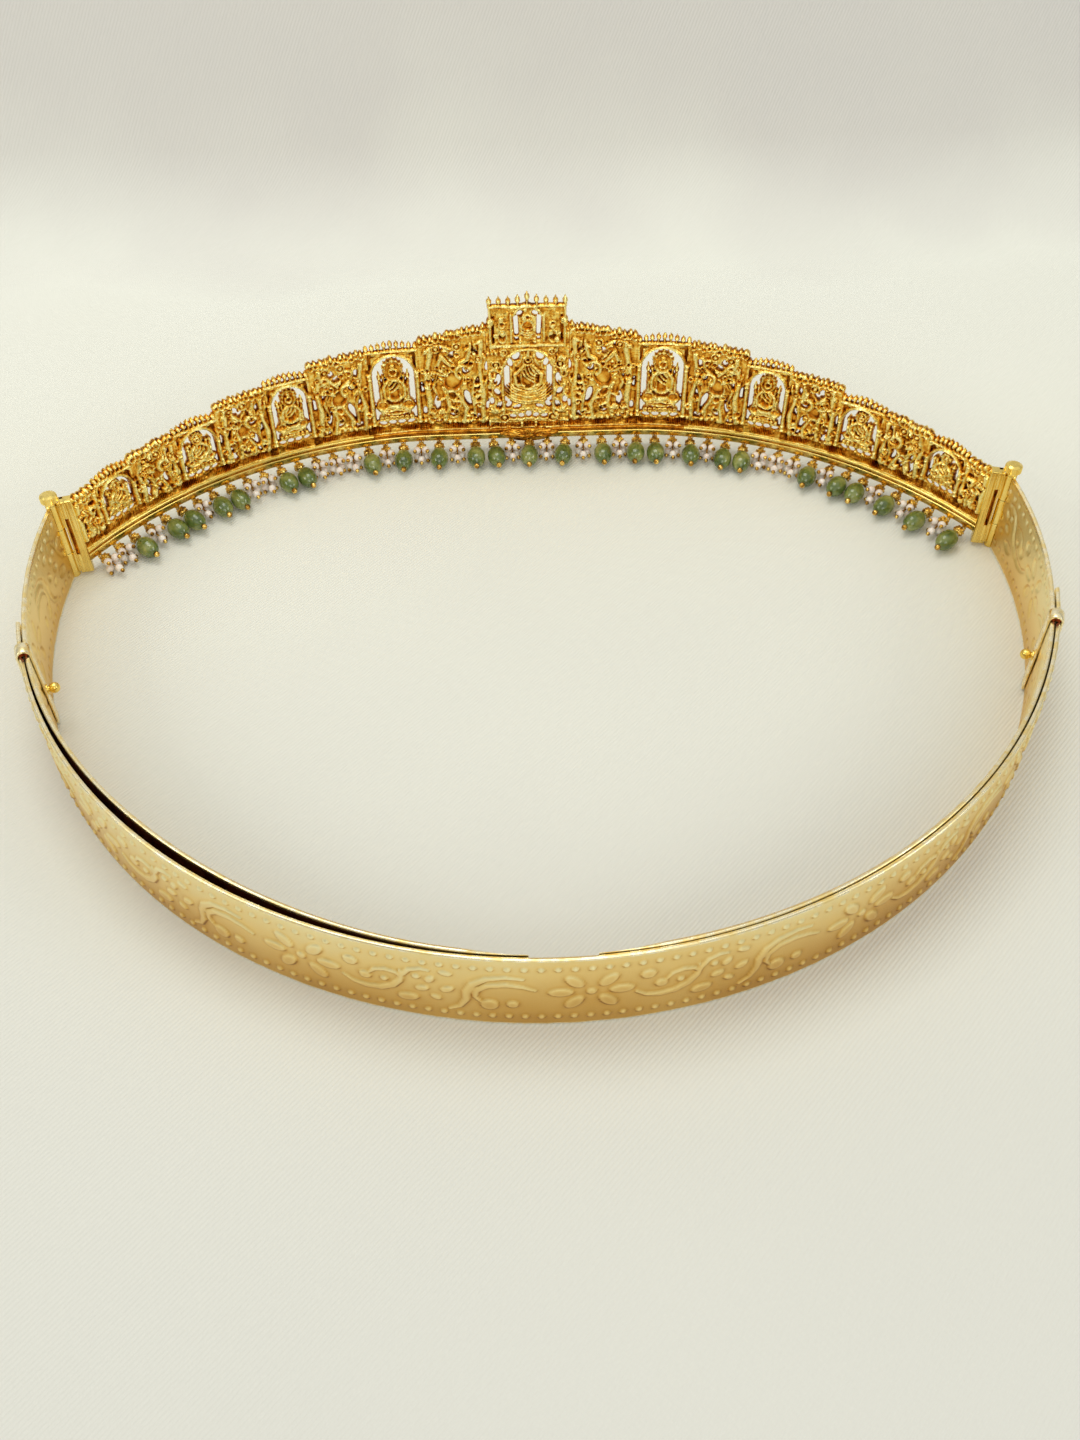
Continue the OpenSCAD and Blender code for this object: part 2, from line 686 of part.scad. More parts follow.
// One wing of the panel, with its sections in turn from the tower outwards
module wing() {
    wing_rail();
    eyelets(tower_w, panel_half);
    for (i = [0:len(SECTIONS) - 1]) on_panel(section_s(i)) translate([0, 0, rail_z]) {
        if (SECTIONS[i][1]) niche(section_w(i), SECTIONS[i][2] * tower_h, SECTIONS[i][3] * tower_h);
        else bird(section_w(i), SECTIONS[i][2] * tower_h, SECTIONS[i][3] * tower_h);
    }
    panel_end();
}

module panel_right() {
    color("gold") in_ring() wing();
}

module panel_left() {
    color("gold") in_ring() mirror([1, 0, 0]) wing();
}

// Fringe

// A drop leans as the nearest green beads on both sides of it do
function lean(slot) = lookup(slot, JADES);

// The eyelet of a drop, seen along the rail: y points to the front
module at_eyelet(slot) {
    on_panel(slot_s(slot)) translate([0, 0, eyelet_z]) children();
}

// Link through the eyelet, with the granulated ball that it carries
module drop_head(lean) {
    rotate([0, 0, lean / 3]) {
        translate([0, -link_back, -link_drop]) rotate([0, 90, 0]) rotate_extrude($fn = 32)
            translate([link_r, 0]) circle(wire_r, $fn = 16);
        translate([0, -drop_reach, drop_z - eyelet_z]) sphere(grain_r, $fn = 32);
    }
}

// The middle of a drop's ball, turned so that z points along its pin
module at_ball(lean, side = 0, up = 0) {
    rotate([0, 0, lean / 3]) translate([0, -drop_reach, drop_z - eyelet_z])
        rotate([0, 0, lean * 2 / 3 + side]) rotate([90 - up, 0, 0]) children();
}

// A pin with the ball at its end, whose middle lies past the bead by a share of
// the ball's radius
module head_pin(length, ball, seat) {
    cylinder(r = wire_r, h = length, $fn = 16);
    translate([0, 0, length + ball * seat]) sphere(ball, $fn = 24);
}

module jade_pins() {
    color("gold") in_ring() for (j = JADES) at_eyelet(j[0]) {
        drop_head(j[1]);
        at_ball(j[1]) head_pin(jade_at + jade_l / 2, tip_r, tip_seat);
    }
}

module jade_bead(i) {
    steps = 12;
    last_a = 84;
    bore = wire_r + bead_gap;
    rim = 0.25;
    chamfer = 0.15;
    color("mediumseagreen") in_ring() at_eyelet(JADES[i][0]) at_ball(JADES[i][1])
        translate([0, 0, jade_at]) rotate_extrude($fn = 48)
            polygon(concat([[bore, jade_l / 2 - chamfer], [bore, -jade_l / 2 + chamfer]],
                [for (k = [0:steps]) let (a = last_a * (2 * k / steps - 1))
                    [max(bore + rim, jade_d / 2 * pow(cos(a), 0.9)), jade_l / 2 * sin(a) / sin(last_a)]]));
}

module at_sprays() {
    for (slot = [0:slots - 1]) if (!is_jade(slot)) at_eyelet(slot) {
        $lean = lean(slot);
        children();
    }
}

module pearl_sprays() {
    color("darkgoldenrod") in_ring() at_sprays() {
        drop_head($lean);
        for (p = SPRAY) at_ball($lean, p[0], p[1])
            head_pin(pearl_at + (p[2] + 0.5) * pearl_d, pearl_tip_r, pearl_tip_seat);
    }
}

module pearls() {
    color("mistyrose") in_ring() at_sprays()
        for (p = SPRAY) at_ball($lean, p[0], p[1]) translate([0, 0, pearl_at + p[2] * pearl_d]) difference() {
            sphere(pearl_d / 2, $fn = 32);
            translate([0, 0, -pearl_d]) cylinder(r = wire_r + bead_gap, h = 2 * pearl_d, $fn = 24);
        }
}

centre_piece();
panel_left();
panel_right();
side_strip_left();
side_strip_right();
back_strip();
hinge_pin_left();
hinge_pin_right();
set_screw_left();
set_screw_right();
jade_pins();
pearl_sprays();
pearls();
for (i = [0:len(JADES) - 1]) jade_bead(i);
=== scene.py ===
"""A rigid temple-style waist belt of gold: pierced front panel, bead fringe, embossed strips.

Lengths are in millimetres until a mesh is made, and every mesh is made in the frame's metres.
Along the front panel a place is (s, out, z): the length from the panel's middle, the distance
in front of its mid-plane and the height above the table. Round the strips it is (angle, r, z).
"""
import math

import bmesh
import bpy
import numpy as np
from mathutils import Matrix, Vector


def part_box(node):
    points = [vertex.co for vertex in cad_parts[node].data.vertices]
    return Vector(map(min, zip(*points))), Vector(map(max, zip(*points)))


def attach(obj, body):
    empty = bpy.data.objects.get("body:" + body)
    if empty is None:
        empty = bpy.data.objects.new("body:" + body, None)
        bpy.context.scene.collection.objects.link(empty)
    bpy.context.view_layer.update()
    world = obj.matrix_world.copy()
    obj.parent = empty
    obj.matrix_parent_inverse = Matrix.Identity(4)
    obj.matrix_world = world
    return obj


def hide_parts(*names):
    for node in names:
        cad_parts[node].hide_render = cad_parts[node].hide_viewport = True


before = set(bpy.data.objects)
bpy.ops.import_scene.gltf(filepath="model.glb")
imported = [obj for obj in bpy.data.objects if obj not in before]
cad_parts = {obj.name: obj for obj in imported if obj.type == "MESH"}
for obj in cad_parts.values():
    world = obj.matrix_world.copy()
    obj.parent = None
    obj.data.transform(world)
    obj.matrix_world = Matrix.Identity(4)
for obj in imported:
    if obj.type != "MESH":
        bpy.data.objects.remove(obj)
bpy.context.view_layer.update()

MM = 0.001

# Strips: outer radius, height, thickness and embossing of the back one, and the gap inside it.
# Angles run from its middle, and a spring is how far a side strip stands off it halfway along
BAND_R = 134.5
BAND_H = 25.0
BAND_T = 1.0
EMBOSS = 0.35
STRIP_GAP = 0.35
BACK_END = math.radians(76.5)
KEEPER_A = math.radians(71.5)
HINGE_A = math.radians(96.5)
STRIP_END = math.radians(3)
SPRING_LEFT = 1.5
SPRING_RIGHT = 0.08
SIDE_OUT = BAND_R - BAND_T - STRIP_GAP
SIDE_IN = SIDE_OUT - BAND_T
HINGE_R = SIDE_OUT - BAND_T / 2
KEEPER_MID = (BAND_R + SIDE_IN) / 2

# Front panel: half lengths of its straight middle and of the whole, the hinge box at its end,
# the rail's foot, height and thickness, the sheet's thickness, and the tower's half width and height
FLAT_HALF = 27.3
PANEL_HALF = 145.0
END_LEN = 4.64
END_A = math.radians(14)
RAIL_Z = 4.2
RAIL_H = 3.6
RAIL_T = 2.4
SHEET = 1.4
TOWER_W = 12.0
TOWER_H = 45.5
JOINT = 0.1
WING_START = TOWER_W + JOINT
BOX_T = 3.0
BARREL_R = 1.6
LEAF_GAP = 0.35

# The ring's centre, from the back strip that the frame holds
RING_Y = BAND_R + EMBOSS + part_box("back_strip")[0][1] / MM

# The panel's plan: straight in its middle, with an arc to each side
HINGE_X = HINGE_R * math.sin(HINGE_A)
HINGE_Y = -HINGE_R * math.cos(HINGE_A)


def panel_plan():
    """Radius of the arcs that bring the hinge boxes to the hinges, and the panel's place."""
    low, high = PANEL_HALF / 2, PANEL_HALF * 3
    for _ in range(40):
        r = (low + high) / 2
        turn = (PANEL_HALF - FLAT_HALF) / r
        if FLAT_HALF + r * math.sin(turn) < HINGE_X - END_LEN * math.cos(END_A):
            low = r
        else:
            high = r
    return r, HINGE_Y + END_LEN * math.sin(END_A) + r * (1 - math.cos(turn))


PANEL_R, FRONT_Y = panel_plan()

# The sections of a wing from the tower outwards: share of the wing's length,
# whether it is a niche, and its two heights as shares of the tower's height
SECTIONS = [(0.154, False, 0.868, 0.780),
            (0.120, True, 0.670, 0.714),
            (0.128, False, 0.725, 0.692),
            (0.105, True, 0.571, 0.607),
            (0.117, False, 0.615, 0.589),
            (0.105, True, 0.473, 0.501),
            (0.109, False, 0.519, 0.501),
            (0.098, True, 0.426, 0.455),
            (0.064, False, 0.475, 0.470)]


# Places

def panel_turn(s):
    """How far the panel has turned from straight at a length s, in radians."""
    return np.maximum(0, np.abs(s) - FLAT_HALF) / PANEL_R


def on_panel(s, out, z):
    """Points on the front panel."""
    turn = panel_turn(s)
    side = np.sign(s)
    x = side * (np.minimum(np.abs(s), FLAT_HALF) + (PANEL_R + out) * np.sin(turn))
    y = FRONT_Y + RING_Y - PANEL_R + (PANEL_R + out) * np.cos(turn)
    return np.stack(np.broadcast_arrays(x, y, z), -1)


def on_ring(angle, r, z):
    """Points round the strips."""
    return np.stack(np.broadcast_arrays(r * np.sin(angle), RING_Y - r * np.cos(angle), z), -1)


# Materials

def colour(code):
    """An sRGB hex value as the linear colour that a shader takes."""
    parts = [int(code[i:i + 2], 16) / 255 for i in (1, 3, 5)]
    return tuple(c / 12.92 if c <= 0.04045 else ((c + 0.055) / 1.055) ** 2.4 for c in parts) + (1.0,)


NOISE, WAVE, RAMP = "ShaderNodeTexNoise", "ShaderNodeTexWave", "ShaderNodeValToRGB"
RANGE, MATH, BUMP = "ShaderNodeMapRange", "ShaderNodeMath", "ShaderNodeBump"
ATTRIBUTE, SPLIT, SURFACE = "ShaderNodeAttribute", "ShaderNodeSeparateXYZ", "ShaderNodeBsdfPrincipled"


def node(tree, kind, sockets=None, stops=(), **settings):
    """Adds a node with its properties, its ramp's stops, and its sockets' values or links."""
    made = tree.nodes.new(kind)
    for key, value in settings.items():
        setattr(made, key, value)
    for key, value in (sockets or {}).items():
        if isinstance(value, bpy.types.NodeSocket):
            tree.links.new(value, made.inputs[key])
        elif isinstance(value, bpy.types.Node):
            tree.links.new(value.outputs[0], made.inputs[key])
        else:
            made.inputs[key].default_value = value
    for place, (at, code) in enumerate(stops):
        elements = made.color_ramp.elements
        if place >= len(elements):
            elements.new(1.0)
        elements[place].position = at
        elements[place].color = colour(code)
    return made


def material(name, build):
    """A new material whose surface is the shader that build(tree, place) makes."""
    made = bpy.data.materials.new(name)
    made.use_nodes = True
    tree = made.node_tree
    tree.nodes.clear()
    place = node(tree, "ShaderNodeTexCoord").outputs["Object"]
    node(tree, "ShaderNodeOutputMaterial", {"Surface": build(tree, place)})
    return made


def cast_gold(tree, place):
    """Matte gold plate on lost-wax castings, with blotches of tone, pale on the ridges as painted highlight
    and burnt orange in the hollows as painted shade.
    """
    hollow = node(tree, ATTRIBUTE, attribute_name="hollow").outputs["Fac"]
    blotch = node(tree, NOISE, {"Vector": place, "Scale": 0.4 / MM, "Detail": 3.0})
    spread = node(tree, RANGE, {0: blotch, 1: 0.3, 2: 0.7, 3: -0.26, 4: 0.24})
    mixed = node(tree, MATH, {0: hollow, 1: spread}, operation="ADD", use_clamp=True)
    tint = node(tree, RAMP, {0: mixed},
                [(0.0, "#FFEE9C"), (0.3, "#FBD566"), (0.52, "#E9A93A"), (0.76, "#C0761C"), (1.0, "#6E3C0C")])
    skin = node(tree, NOISE, {"Vector": place, "Scale": 2.0 / MM, "Detail": 4.0})
    rough = node(tree, RANGE, {0: skin, 1: 0.3, 2: 0.7, 3: 0.22, 4: 0.40})
    uneven = node(tree, BUMP, {"Height": skin, "Strength": 1.0, "Distance": 0.05 * MM})
    return node(tree, SURFACE, {"Base Color": tint, "Metallic": 1.0, "Roughness": rough, "Normal": uneven})


def frosted_gold(tree, place):
    """Sandblasted gold plate on rolled strip: a fine grain, with painted light that is lighter above and
    darker towards its foot.
    """
    hollow = node(tree, ATTRIBUTE, attribute_name="hollow").outputs["Fac"]
    height = node(tree, SPLIT, {0: place}).outputs["Z"]
    # painted light by height: painted highlight towards the top and painted shade towards the foot
    painted_light_by_height = node(tree, RANGE, {0: height, 1: 0.0, 2: BAND_H * MM, 3: 0.30, 4: -0.20})
    cloud = node(tree, NOISE, {"Vector": place, "Scale": 0.03 / MM, "Detail": 2.0})
    spread = node(tree, RANGE, {0: cloud, 1: 0.35, 2: 0.65, 3: -0.08, 4: 0.08})
    uneven = node(tree, MATH, {0: spread, 1: painted_light_by_height}, operation="ADD")
    mixed = node(tree, MATH, {0: hollow, 1: uneven}, operation="ADD", use_clamp=True)
    tint = node(tree, RAMP, {0: mixed},
                [(0.0, "#FFF2BE"), (0.25, "#F8DC94"), (0.5, "#E2B866"), (0.75, "#BE8A3C"), (1.0, "#835618")])
    # the real grit is near 0.05 mm, and this one is eight times as coarse so that it shows
    grit = node(tree, NOISE, {"Vector": place, "Scale": 2.4 / MM, "Detail": 3.0})
    grain = node(tree, BUMP, {"Height": grit, "Strength": 1.0, "Distance": 0.08 * MM})
    rough = node(tree, RANGE, {0: cloud, 1: 0.3, 2: 0.7, 3: 0.36, 4: 0.44})
    return node(tree, SURFACE, {"Base Color": tint, "Metallic": 1.0, "Roughness": rough, "Normal": grain})


def polished_gold(tree, place):
    """Burnished gold plate on rails, edges and keepers: near mirror, with faint rubbing marks."""
    cloud = node(tree, NOISE, {"Vector": place, "Scale": 0.12 / MM, "Detail": 2.0})
    tint = node(tree, RAMP, {0: cloud}, [(0.35, "#F6D46E"), (0.65, "#FFE58C")])
    rubs = node(tree, NOISE, {"Vector": place, "Scale": 0.9 / MM, "Detail": 3.0})
    rough = node(tree, RANGE, {0: rubs, 1: 0.3, 2: 0.7, 3: 0.16, 4: 0.30})
    uneven = node(tree, BUMP, {"Height": rubs, "Strength": 1.0, "Distance": 0.03 * MM})
    return node(tree, SURFACE, {"Base Color": tint, "Metallic": 1.0, "Roughness": rough, "Normal": uneven})


def rubbed_gold(tree, place, scale, stops, dull, bright):
    """Gold plate that is paler and smoother where it is rubbed."""
    rubs = node(tree, NOISE, {"Vector": place, "Scale": scale / MM, "Detail": 3.0})
    tint = node(tree, RAMP, {0: rubs}, stops)
    rough = node(tree, RANGE, {0: rubs, 1: 0.3, 2: 0.7, 3: dull, 4: bright})
    return node(tree, SURFACE, {"Base Color": tint, "Metallic": 1.0, "Roughness": rough})


def buffed_gold_painted_highlight(tree, place):
    """Buffed gold plate on the rims of the strips and the keepers, tinted pale and nearly white as a painted
    highlight.
    """
    return rubbed_gold(tree, place, 0.5, [(0.35, "#F7DE9A"), (0.6, "#FFF4D2")], 0.34, 0.22)


def antique_gold(tree, place):
    """Oxidised gold plate on the granulated balls and links: brown between bright grains."""
    return rubbed_gold(tree, place, 0.8, [(0.35, "#6E4A1C"), (0.5, "#C79A44"), (0.62, "#F6D57A")], 0.34, 0.2)


def painted_gap_shade_gold(tree, place):
    """Deep red brown where a strip lies behind another and inside the keepers' bends: painted shade and
    painted reflection of gold seen in gold.
    """
    cloud = node(tree, NOISE, {"Vector": place, "Scale": 0.1 / MM, "Detail": 2.0})
    tint = node(tree, RAMP, {0: cloud}, [(0.35, "#6E2810"), (0.65, "#A45424")])
    return node(tree, SURFACE, {"Base Color": tint, "Metallic": 1.0, "Roughness": 0.36})


def green_stone(tree, place):
    """Polished aventurine: cloudy translucent green with a wet shine."""
    cloud = node(tree, NOISE, {"Vector": place, "Scale": 0.22 / MM, "Detail": 4.0})
    tint = node(tree, RAMP, {0: cloud}, [(0.32, "#4A5E2A"), (0.5, "#70823E"), (0.68, "#A9AD66")])
    return node(tree, SURFACE,
                {"Base Color": tint, "Roughness": 0.12, "IOR": 1.54, "Subsurface Weight": 0.5,
                 "Subsurface Radius": (0.8, 1.0, 0.6), "Subsurface Scale": 2.0 * MM,
                 "Transmission Weight": 0.3, "Coat Weight": 0.4, "Coat Roughness": 0.05})


def pearl(tree, place):
    """Rice pearls: pinkish white nacre with a soft lustre."""
    cloud = node(tree, NOISE, {"Vector": place, "Scale": 0.5 / MM, "Detail": 2.0})
    tint = node(tree, RAMP, {0: cloud}, [(0.3, "#E2D0C6"), (0.55, "#F3E8E0"), (0.8, "#FBF5F0")])
    return node(tree, SURFACE,
                {"Base Color": tint, "Roughness": 0.22, "IOR": 1.6, "Subsurface Weight": 0.2,
                 "Subsurface Radius": (1.0, 0.7, 0.6), "Subsurface Scale": 0.6 * MM,
                 "Coat Weight": 0.5, "Coat Roughness": 0.12})


def satin_cloth(tree, place):
    """White satin under the belt and rising behind it: a soft sheen over a fine twill, with painted light
    that is brightest round the belt and darker in front and up the wall.
    """
    away = node(tree, SPLIT, {0: place}).outputs["Y"]
    cloud = node(tree, NOISE, {"Vector": place, "Scale": 0.012 / MM, "Detail": 2.0})
    spread = node(tree, RANGE, {0: cloud, 1: 0.3, 2: 0.7, 3: -0.025, 4: 0.025})
    # painted light along the cloth: painted shade in front and up the wall, brightest round the belt
    along = node(tree, RANGE, {0: away, 1: -400 * MM, 2: 300 * MM})
    mixed = node(tree, MATH, {0: along, 1: spread}, operation="ADD")
    tint = node(tree, RAMP, {0: mixed},
                [(0.0, "#CBCAC7"), (0.5, "#D9D8D2"), (0.72, "#E6E5DC"), (0.86, "#E8E8E1"), (0.95, "#D4D1CE"),
                 (1.0, "#D0CDCC")])
    # threads stand 0.25 mm apart in the cloth and are drawn 0.9 mm apart so that they show
    turned = node(tree, "ShaderNodeMapping", {"Vector": place, "Rotation": (0, 0, 0.75)})
    weave = node(tree, WAVE, {"Vector": turned, "Scale": 0.35 / MM, "Distortion": 0.6, "Detail": 1.0})
    twill = node(tree, BUMP, {"Height": weave.outputs["Fac"], "Strength": 1.0, "Distance": 0.06 * MM})
    return node(tree, SURFACE,
                {"Base Color": tint, "Roughness": 0.55, "Sheen Weight": 0.1, "Normal": twill})


CAST = material("cast_gold_plate", cast_gold)
FROSTED = material("frosted_gold_plate", frosted_gold)
POLISHED = material("polished_gold_plate", polished_gold)
BUFFED_PAINTED_HIGHLIGHT = material("buffed_rim_painted_highlight", buffed_gold_painted_highlight)
PAINTED_GAP_SHADE = material("gold_gap_painted_shade", painted_gap_shade_gold)
ANTIQUE = material("antique_gold_plate", antique_gold)
GREEN = material("green_aventurine", green_stone)
PEARL = material("rice_pearl", pearl)
SATIN = material("white_satin", satin_cloth)


# Meshes

def placed(name, mesh):
    """A new object in the scene that holds a mesh."""
    made = bpy.data.objects.new(name, mesh)
    bpy.context.scene.collection.objects.link(made)
    return made


def mesh_object(name, points_mm, faces, materials, face_material=None, hollow=None, sharp_deg=40):
    """A shaded mesh object from points in millimetres."""
    mesh = bpy.data.meshes.new(name)
    mesh.from_pydata(np.asarray(points_mm) * MM, [], faces)
    for m in materials:
        mesh.materials.append(m)
    if face_material is not None:
        mesh.polygons.foreach_set("material_index", np.asarray(face_material, np.int32))
    if hollow is not None:
        values = mesh.attributes.new("hollow", "FLOAT", "POINT").data
        values.foreach_set("value", np.asarray(hollow, np.float32))
    mesh.update()
    mesh.shade_smooth()
    mesh.set_sharp_from_angle(angle=math.radians(sharp_deg))
    return placed(name, mesh)


def blurred(field, cells):
    """The mean of a field over a square window of 2 * cells + 1 cells."""
    for axis in (0, 1):
        padded = np.concatenate([np.repeat(np.take(field, [0], axis), cells + 1, axis), field,
                                 np.repeat(np.take(field, [-1], axis), cells, axis)], axis)
        total = np.cumsum(padded, axis)
        width = 2 * cells + 1
        field = (np.take(total, range(width, total.shape[axis]), axis)
                 - np.take(total, range(0, total.shape[axis] - width), axis)) / width
    return field


def smooth(value, low, high):
    """An eased step from 0 at low to 1 at high."""
    t = np.clip((value - low) / (high - low), 0, 1)
    return t * t * (3 - 2 * t)


# Outlines, each as the distance inside it (negative outside)

def disc(x, z, cx, cz, r):
    """A circle."""
    return r - np.hypot(x - cx, z - cz)


def oval(x, z, cx, cz, rx, rz, turn=0.0):
    """An ellipse that leans by a turn in degrees."""
    a = math.radians(turn)
    u = (x - cx) * math.cos(a) + (z - cz) * math.sin(a)
    v = (z - cz) * math.cos(a) - (x - cx) * math.sin(a)
    return (1 - np.hypot(u / rx, v / rz)) * min(rx, rz)


def bar(x, z, x0, x1, z0, z1):
    """An upright rectangle."""
    return np.minimum(np.minimum(x - x0, x1 - x), np.minimum(z - z0, z1 - z))


def stroke(x, z, points, widths):
    """A brush stroke through points, as wide at each as widths says."""
    best = np.full(x.shape, -99.0)
    for (ax, az), (bx, bz), wa, wb in zip(points, points[1:], widths, widths[1:]):
        dx, dz = bx - ax, bz - az
        along = np.clip(((x - ax) * dx + (z - az) * dz) / (dx * dx + dz * dz + 1e-9), 0, 1)
        gap = np.hypot(x - ax - along * dx, z - az - along * dz)
        best = np.maximum(best, wa + (wb - wa) * along - gap)
    return best


def arc_points(cx, cz, r, a0, a1, count=9, r_end=None):
    """Points on an arc, or on a spiral where the radius changes to r_end."""
    last = r if r_end is None else r_end
    steps = [i / (count - 1) for i in range(count)]
    return [(cx + (r + (last - r) * t) * math.cos(math.radians(a0 + (a1 - a0) * t)),
             cz + (r + (last - r) * t) * math.sin(math.radians(a0 + (a1 - a0) * t))) for t in steps]


def taper(width, count, ends=0.25):
    """Widths for a stroke that swells in its middle."""
    return [width * (ends + (1 - ends) * math.sin(math.pi * i / (count - 1))) for i in range(count)]


def tail(width, count, end=0.2):
    """Widths for a stroke that thins towards its end."""
    return [width * (1 - (1 - end) * i / (count - 1)) for i in range(count)]


MAX_OUT = 2.3


class Relief:
    """A pierced and modelled sheet on a grid over the panel's length and height.

    metal is the distance inside the sheet's outline, front and back are how far both faces stand
    out, and darkening makes the tint darker. Drawing goes to the section that at() has chosen.
    """

    def __init__(self, s0, s1, z0, z1, step):
        s = np.linspace(s0, s1, max(2, round((s1 - s0) / step) + 1))
        z = np.linspace(z0, z1, max(2, round((z1 - z0) / step) + 1))
        self.S, self.Z = np.meshgrid(s, z, indexing="ij")
        self.step = step
        self.metal = np.full(self.S.shape, -9.0)
        self.front = np.zeros(self.S.shape)
        self.back = np.zeros(self.S.shape)
        self.darkening = np.zeros(self.S.shape)
        self.x, self.z, self.rows = self.S, self.Z, slice(None)

    def at(self, s, half):
        """Moves the drawing to a section, so that x runs from its middle."""
        column = self.S[:, 0]
        first, last = np.searchsorted(column, [s - half, s + half])
        self.rows = slice(max(0, first - 1), last + 1)
        self.x = self.S[self.rows] - s
        self.z = self.Z[self.rows]
        return self

    def plate(self, d):
        """Plain sheet."""
        self.metal[self.rows] = np.maximum(self.metal[self.rows], d)

    def pierce(self, d, rim=0.12):
        """A hole with a slightly raised edge."""
        self.metal[self.rows] = np.minimum(self.metal[self.rows], -d)
        edge = rim * np.exp(-((d + 0.3) / 0.25) ** 2)
        self.front[self.rows] += edge
        self.back[self.rows] += edge

    def rib(self, d, rise, soft=0.5):
        """Rounded work that stands out of both faces."""
        shape = rise * np.sqrt(np.clip(d / soft, 0, 1) * (2 - np.clip(d / soft, 0, 1)))
        on = d > 0
        self.metal[self.rows] = np.maximum(self.metal[self.rows], d)
        for face in (self.front, self.back):
            part = face[self.rows]
            part[on] = np.maximum(part[on], shape[on])

    def form(self, d, rise, dish, rim=0.3, soft=0.9):
        """Hollow cast work: domed on the front, and a dish with a rim on the back."""
        on = d > 0
        t = np.clip(d / soft, 0, 1)
        self.metal[self.rows] = np.maximum(self.metal[self.rows], d)
        front, back = self.front[self.rows], self.back[self.rows]
        front[on] = np.maximum(front[on], (rise * np.sqrt(t * (2 - t)))[on])
        bowl = rim * np.exp(-((d - 0.28) / 0.26) ** 2) - dish * smooth(d, 0.35, soft + 0.35)
        back[on] = bowl[on]

    def groove(self, d, depth, soft=0.3):
        """A sunk line or field in both faces."""
        cut = depth * smooth(d, 0, soft)
        self.front[self.rows] -= cut
        self.back[self.rows] -= cut

    def roughen(self, seed, amount, size_mm):
        """Uneven skin of a casting, from a seeded field of that size."""
        draw = np.random.default_rng(seed)
        cells = max(1, round(size_mm / self.step / 2))
        for face in (self.front, self.back):
            field = blurred(draw.standard_normal(face.shape), cells)
            face += field / (field.std() + 1e-9) * amount

    def painted_shade_and_tone_of(self, face):
        """How deep each place lies among its neighbours, near and farther away, for the tint: painted shade
        in the hollows, painted highlight on the ridges, and the darker tone.
        """
        near, wide = (max(1, round(reach / self.step)) for reach in (0.6, 1.7))
        sunk = (blurred(face, near) - face) * 0.9 + (blurred(face, wide) - face) * 0.55
        return np.clip(sunk + 0.36 + self.darkening, 0, 1)

    def piece(self, name, mirror=False):
        """The sheet as a closed mesh on the panel, with its rims thinned."""
        edge = np.sqrt(np.clip(self.metal / 0.45, 0.12, 1))
        front = np.clip(SHEET / 2 * edge + self.front * edge, 0.25, MAX_OUT)
        back = np.clip(SHEET / 2 * edge + self.back * edge, -0.1, MAX_OUT)
        kept = (self.metal[:-1, :-1] + self.metal[1:, :-1] + self.metal[:-1, 1:] + self.metal[1:, 1:]) / 4 > 0
        ring = np.pad(kept, 1)
        cells = [ring[:-1, :-1], ring[1:, :-1], ring[:-1, 1:], ring[1:, 1:]]
        used = np.any(cells, 0)
        rim = used & ~np.all(cells, 0)
        # corners on the rim move to where the metal ends
        slopes = np.gradient(self.metal, self.step)
        steep = np.maximum(slopes[0] ** 2 + slopes[1] ** 2, 0.25)
        most = 0.7 * self.step
        S, Z = (grid + np.clip(-self.metal * slope / steep, -most, most) * rim
                for grid, slope in zip((self.S, self.Z), slopes))
        count = int(used.sum())
        index = np.full(used.shape, -1)
        index[used] = np.arange(count)
        points = np.concatenate([on_panel(S[used], out[used], Z[used] + RAIL_Z) for out in (front, -back)])
        i, j = np.nonzero(kept)
        corners = [index[i, j], index[i + 1, j], index[i + 1, j + 1], index[i, j + 1]]
        faces = [np.stack(corners, 1) + count, np.stack(corners[::-1], 1)]
        # walls where a cell has no neighbour: the step to the neighbour, and the two corners they share
        for di, dj, a, b in ((0, -1, 0, 1), (1, 0, 1, 2), (0, 1, 2, 3), (-1, 0, 3, 0)):
            bare = ~ring[i + 1 + di, j + 1 + dj]
            first, second = corners[a][bare], corners[b][bare]
            faces.append(np.stack([second + count, first + count, first, second], 1))
        faces = np.concatenate(faces)
        if mirror:
            points[:, 0] *= -1
            faces = faces[:, ::-1]
        # the tint: painted shade in each face's hollows and painted highlight on its ridges
        hollow = np.concatenate([self.painted_shade_and_tone_of(face)[used] for face in (front, back)])
        return mesh_object(name, points, faces.tolist(), [CAST], hollow=hollow, sharp_deg=60)


# The front panel's castings, drawn in a section's own x and in z above the rail's lower edge.
# What is drawn in `beside` instead of x, the distance from the section's middle, shows on both sides.

NICHE_FOOT = RAIL_H + 5
PLATE_FOOT = RAIL_H - 0.4
BASE_FOOT = RAIL_H + 0.2
GRID_FOOT = RAIL_H - 1.2
SPIKES_H = 5.2
WING_STEP, TOWER_STEP = 0.27, 0.2
LAP = 0.06  # by which the tower and the wings reach into the joints between them
WIRE_PITCH = 1.05


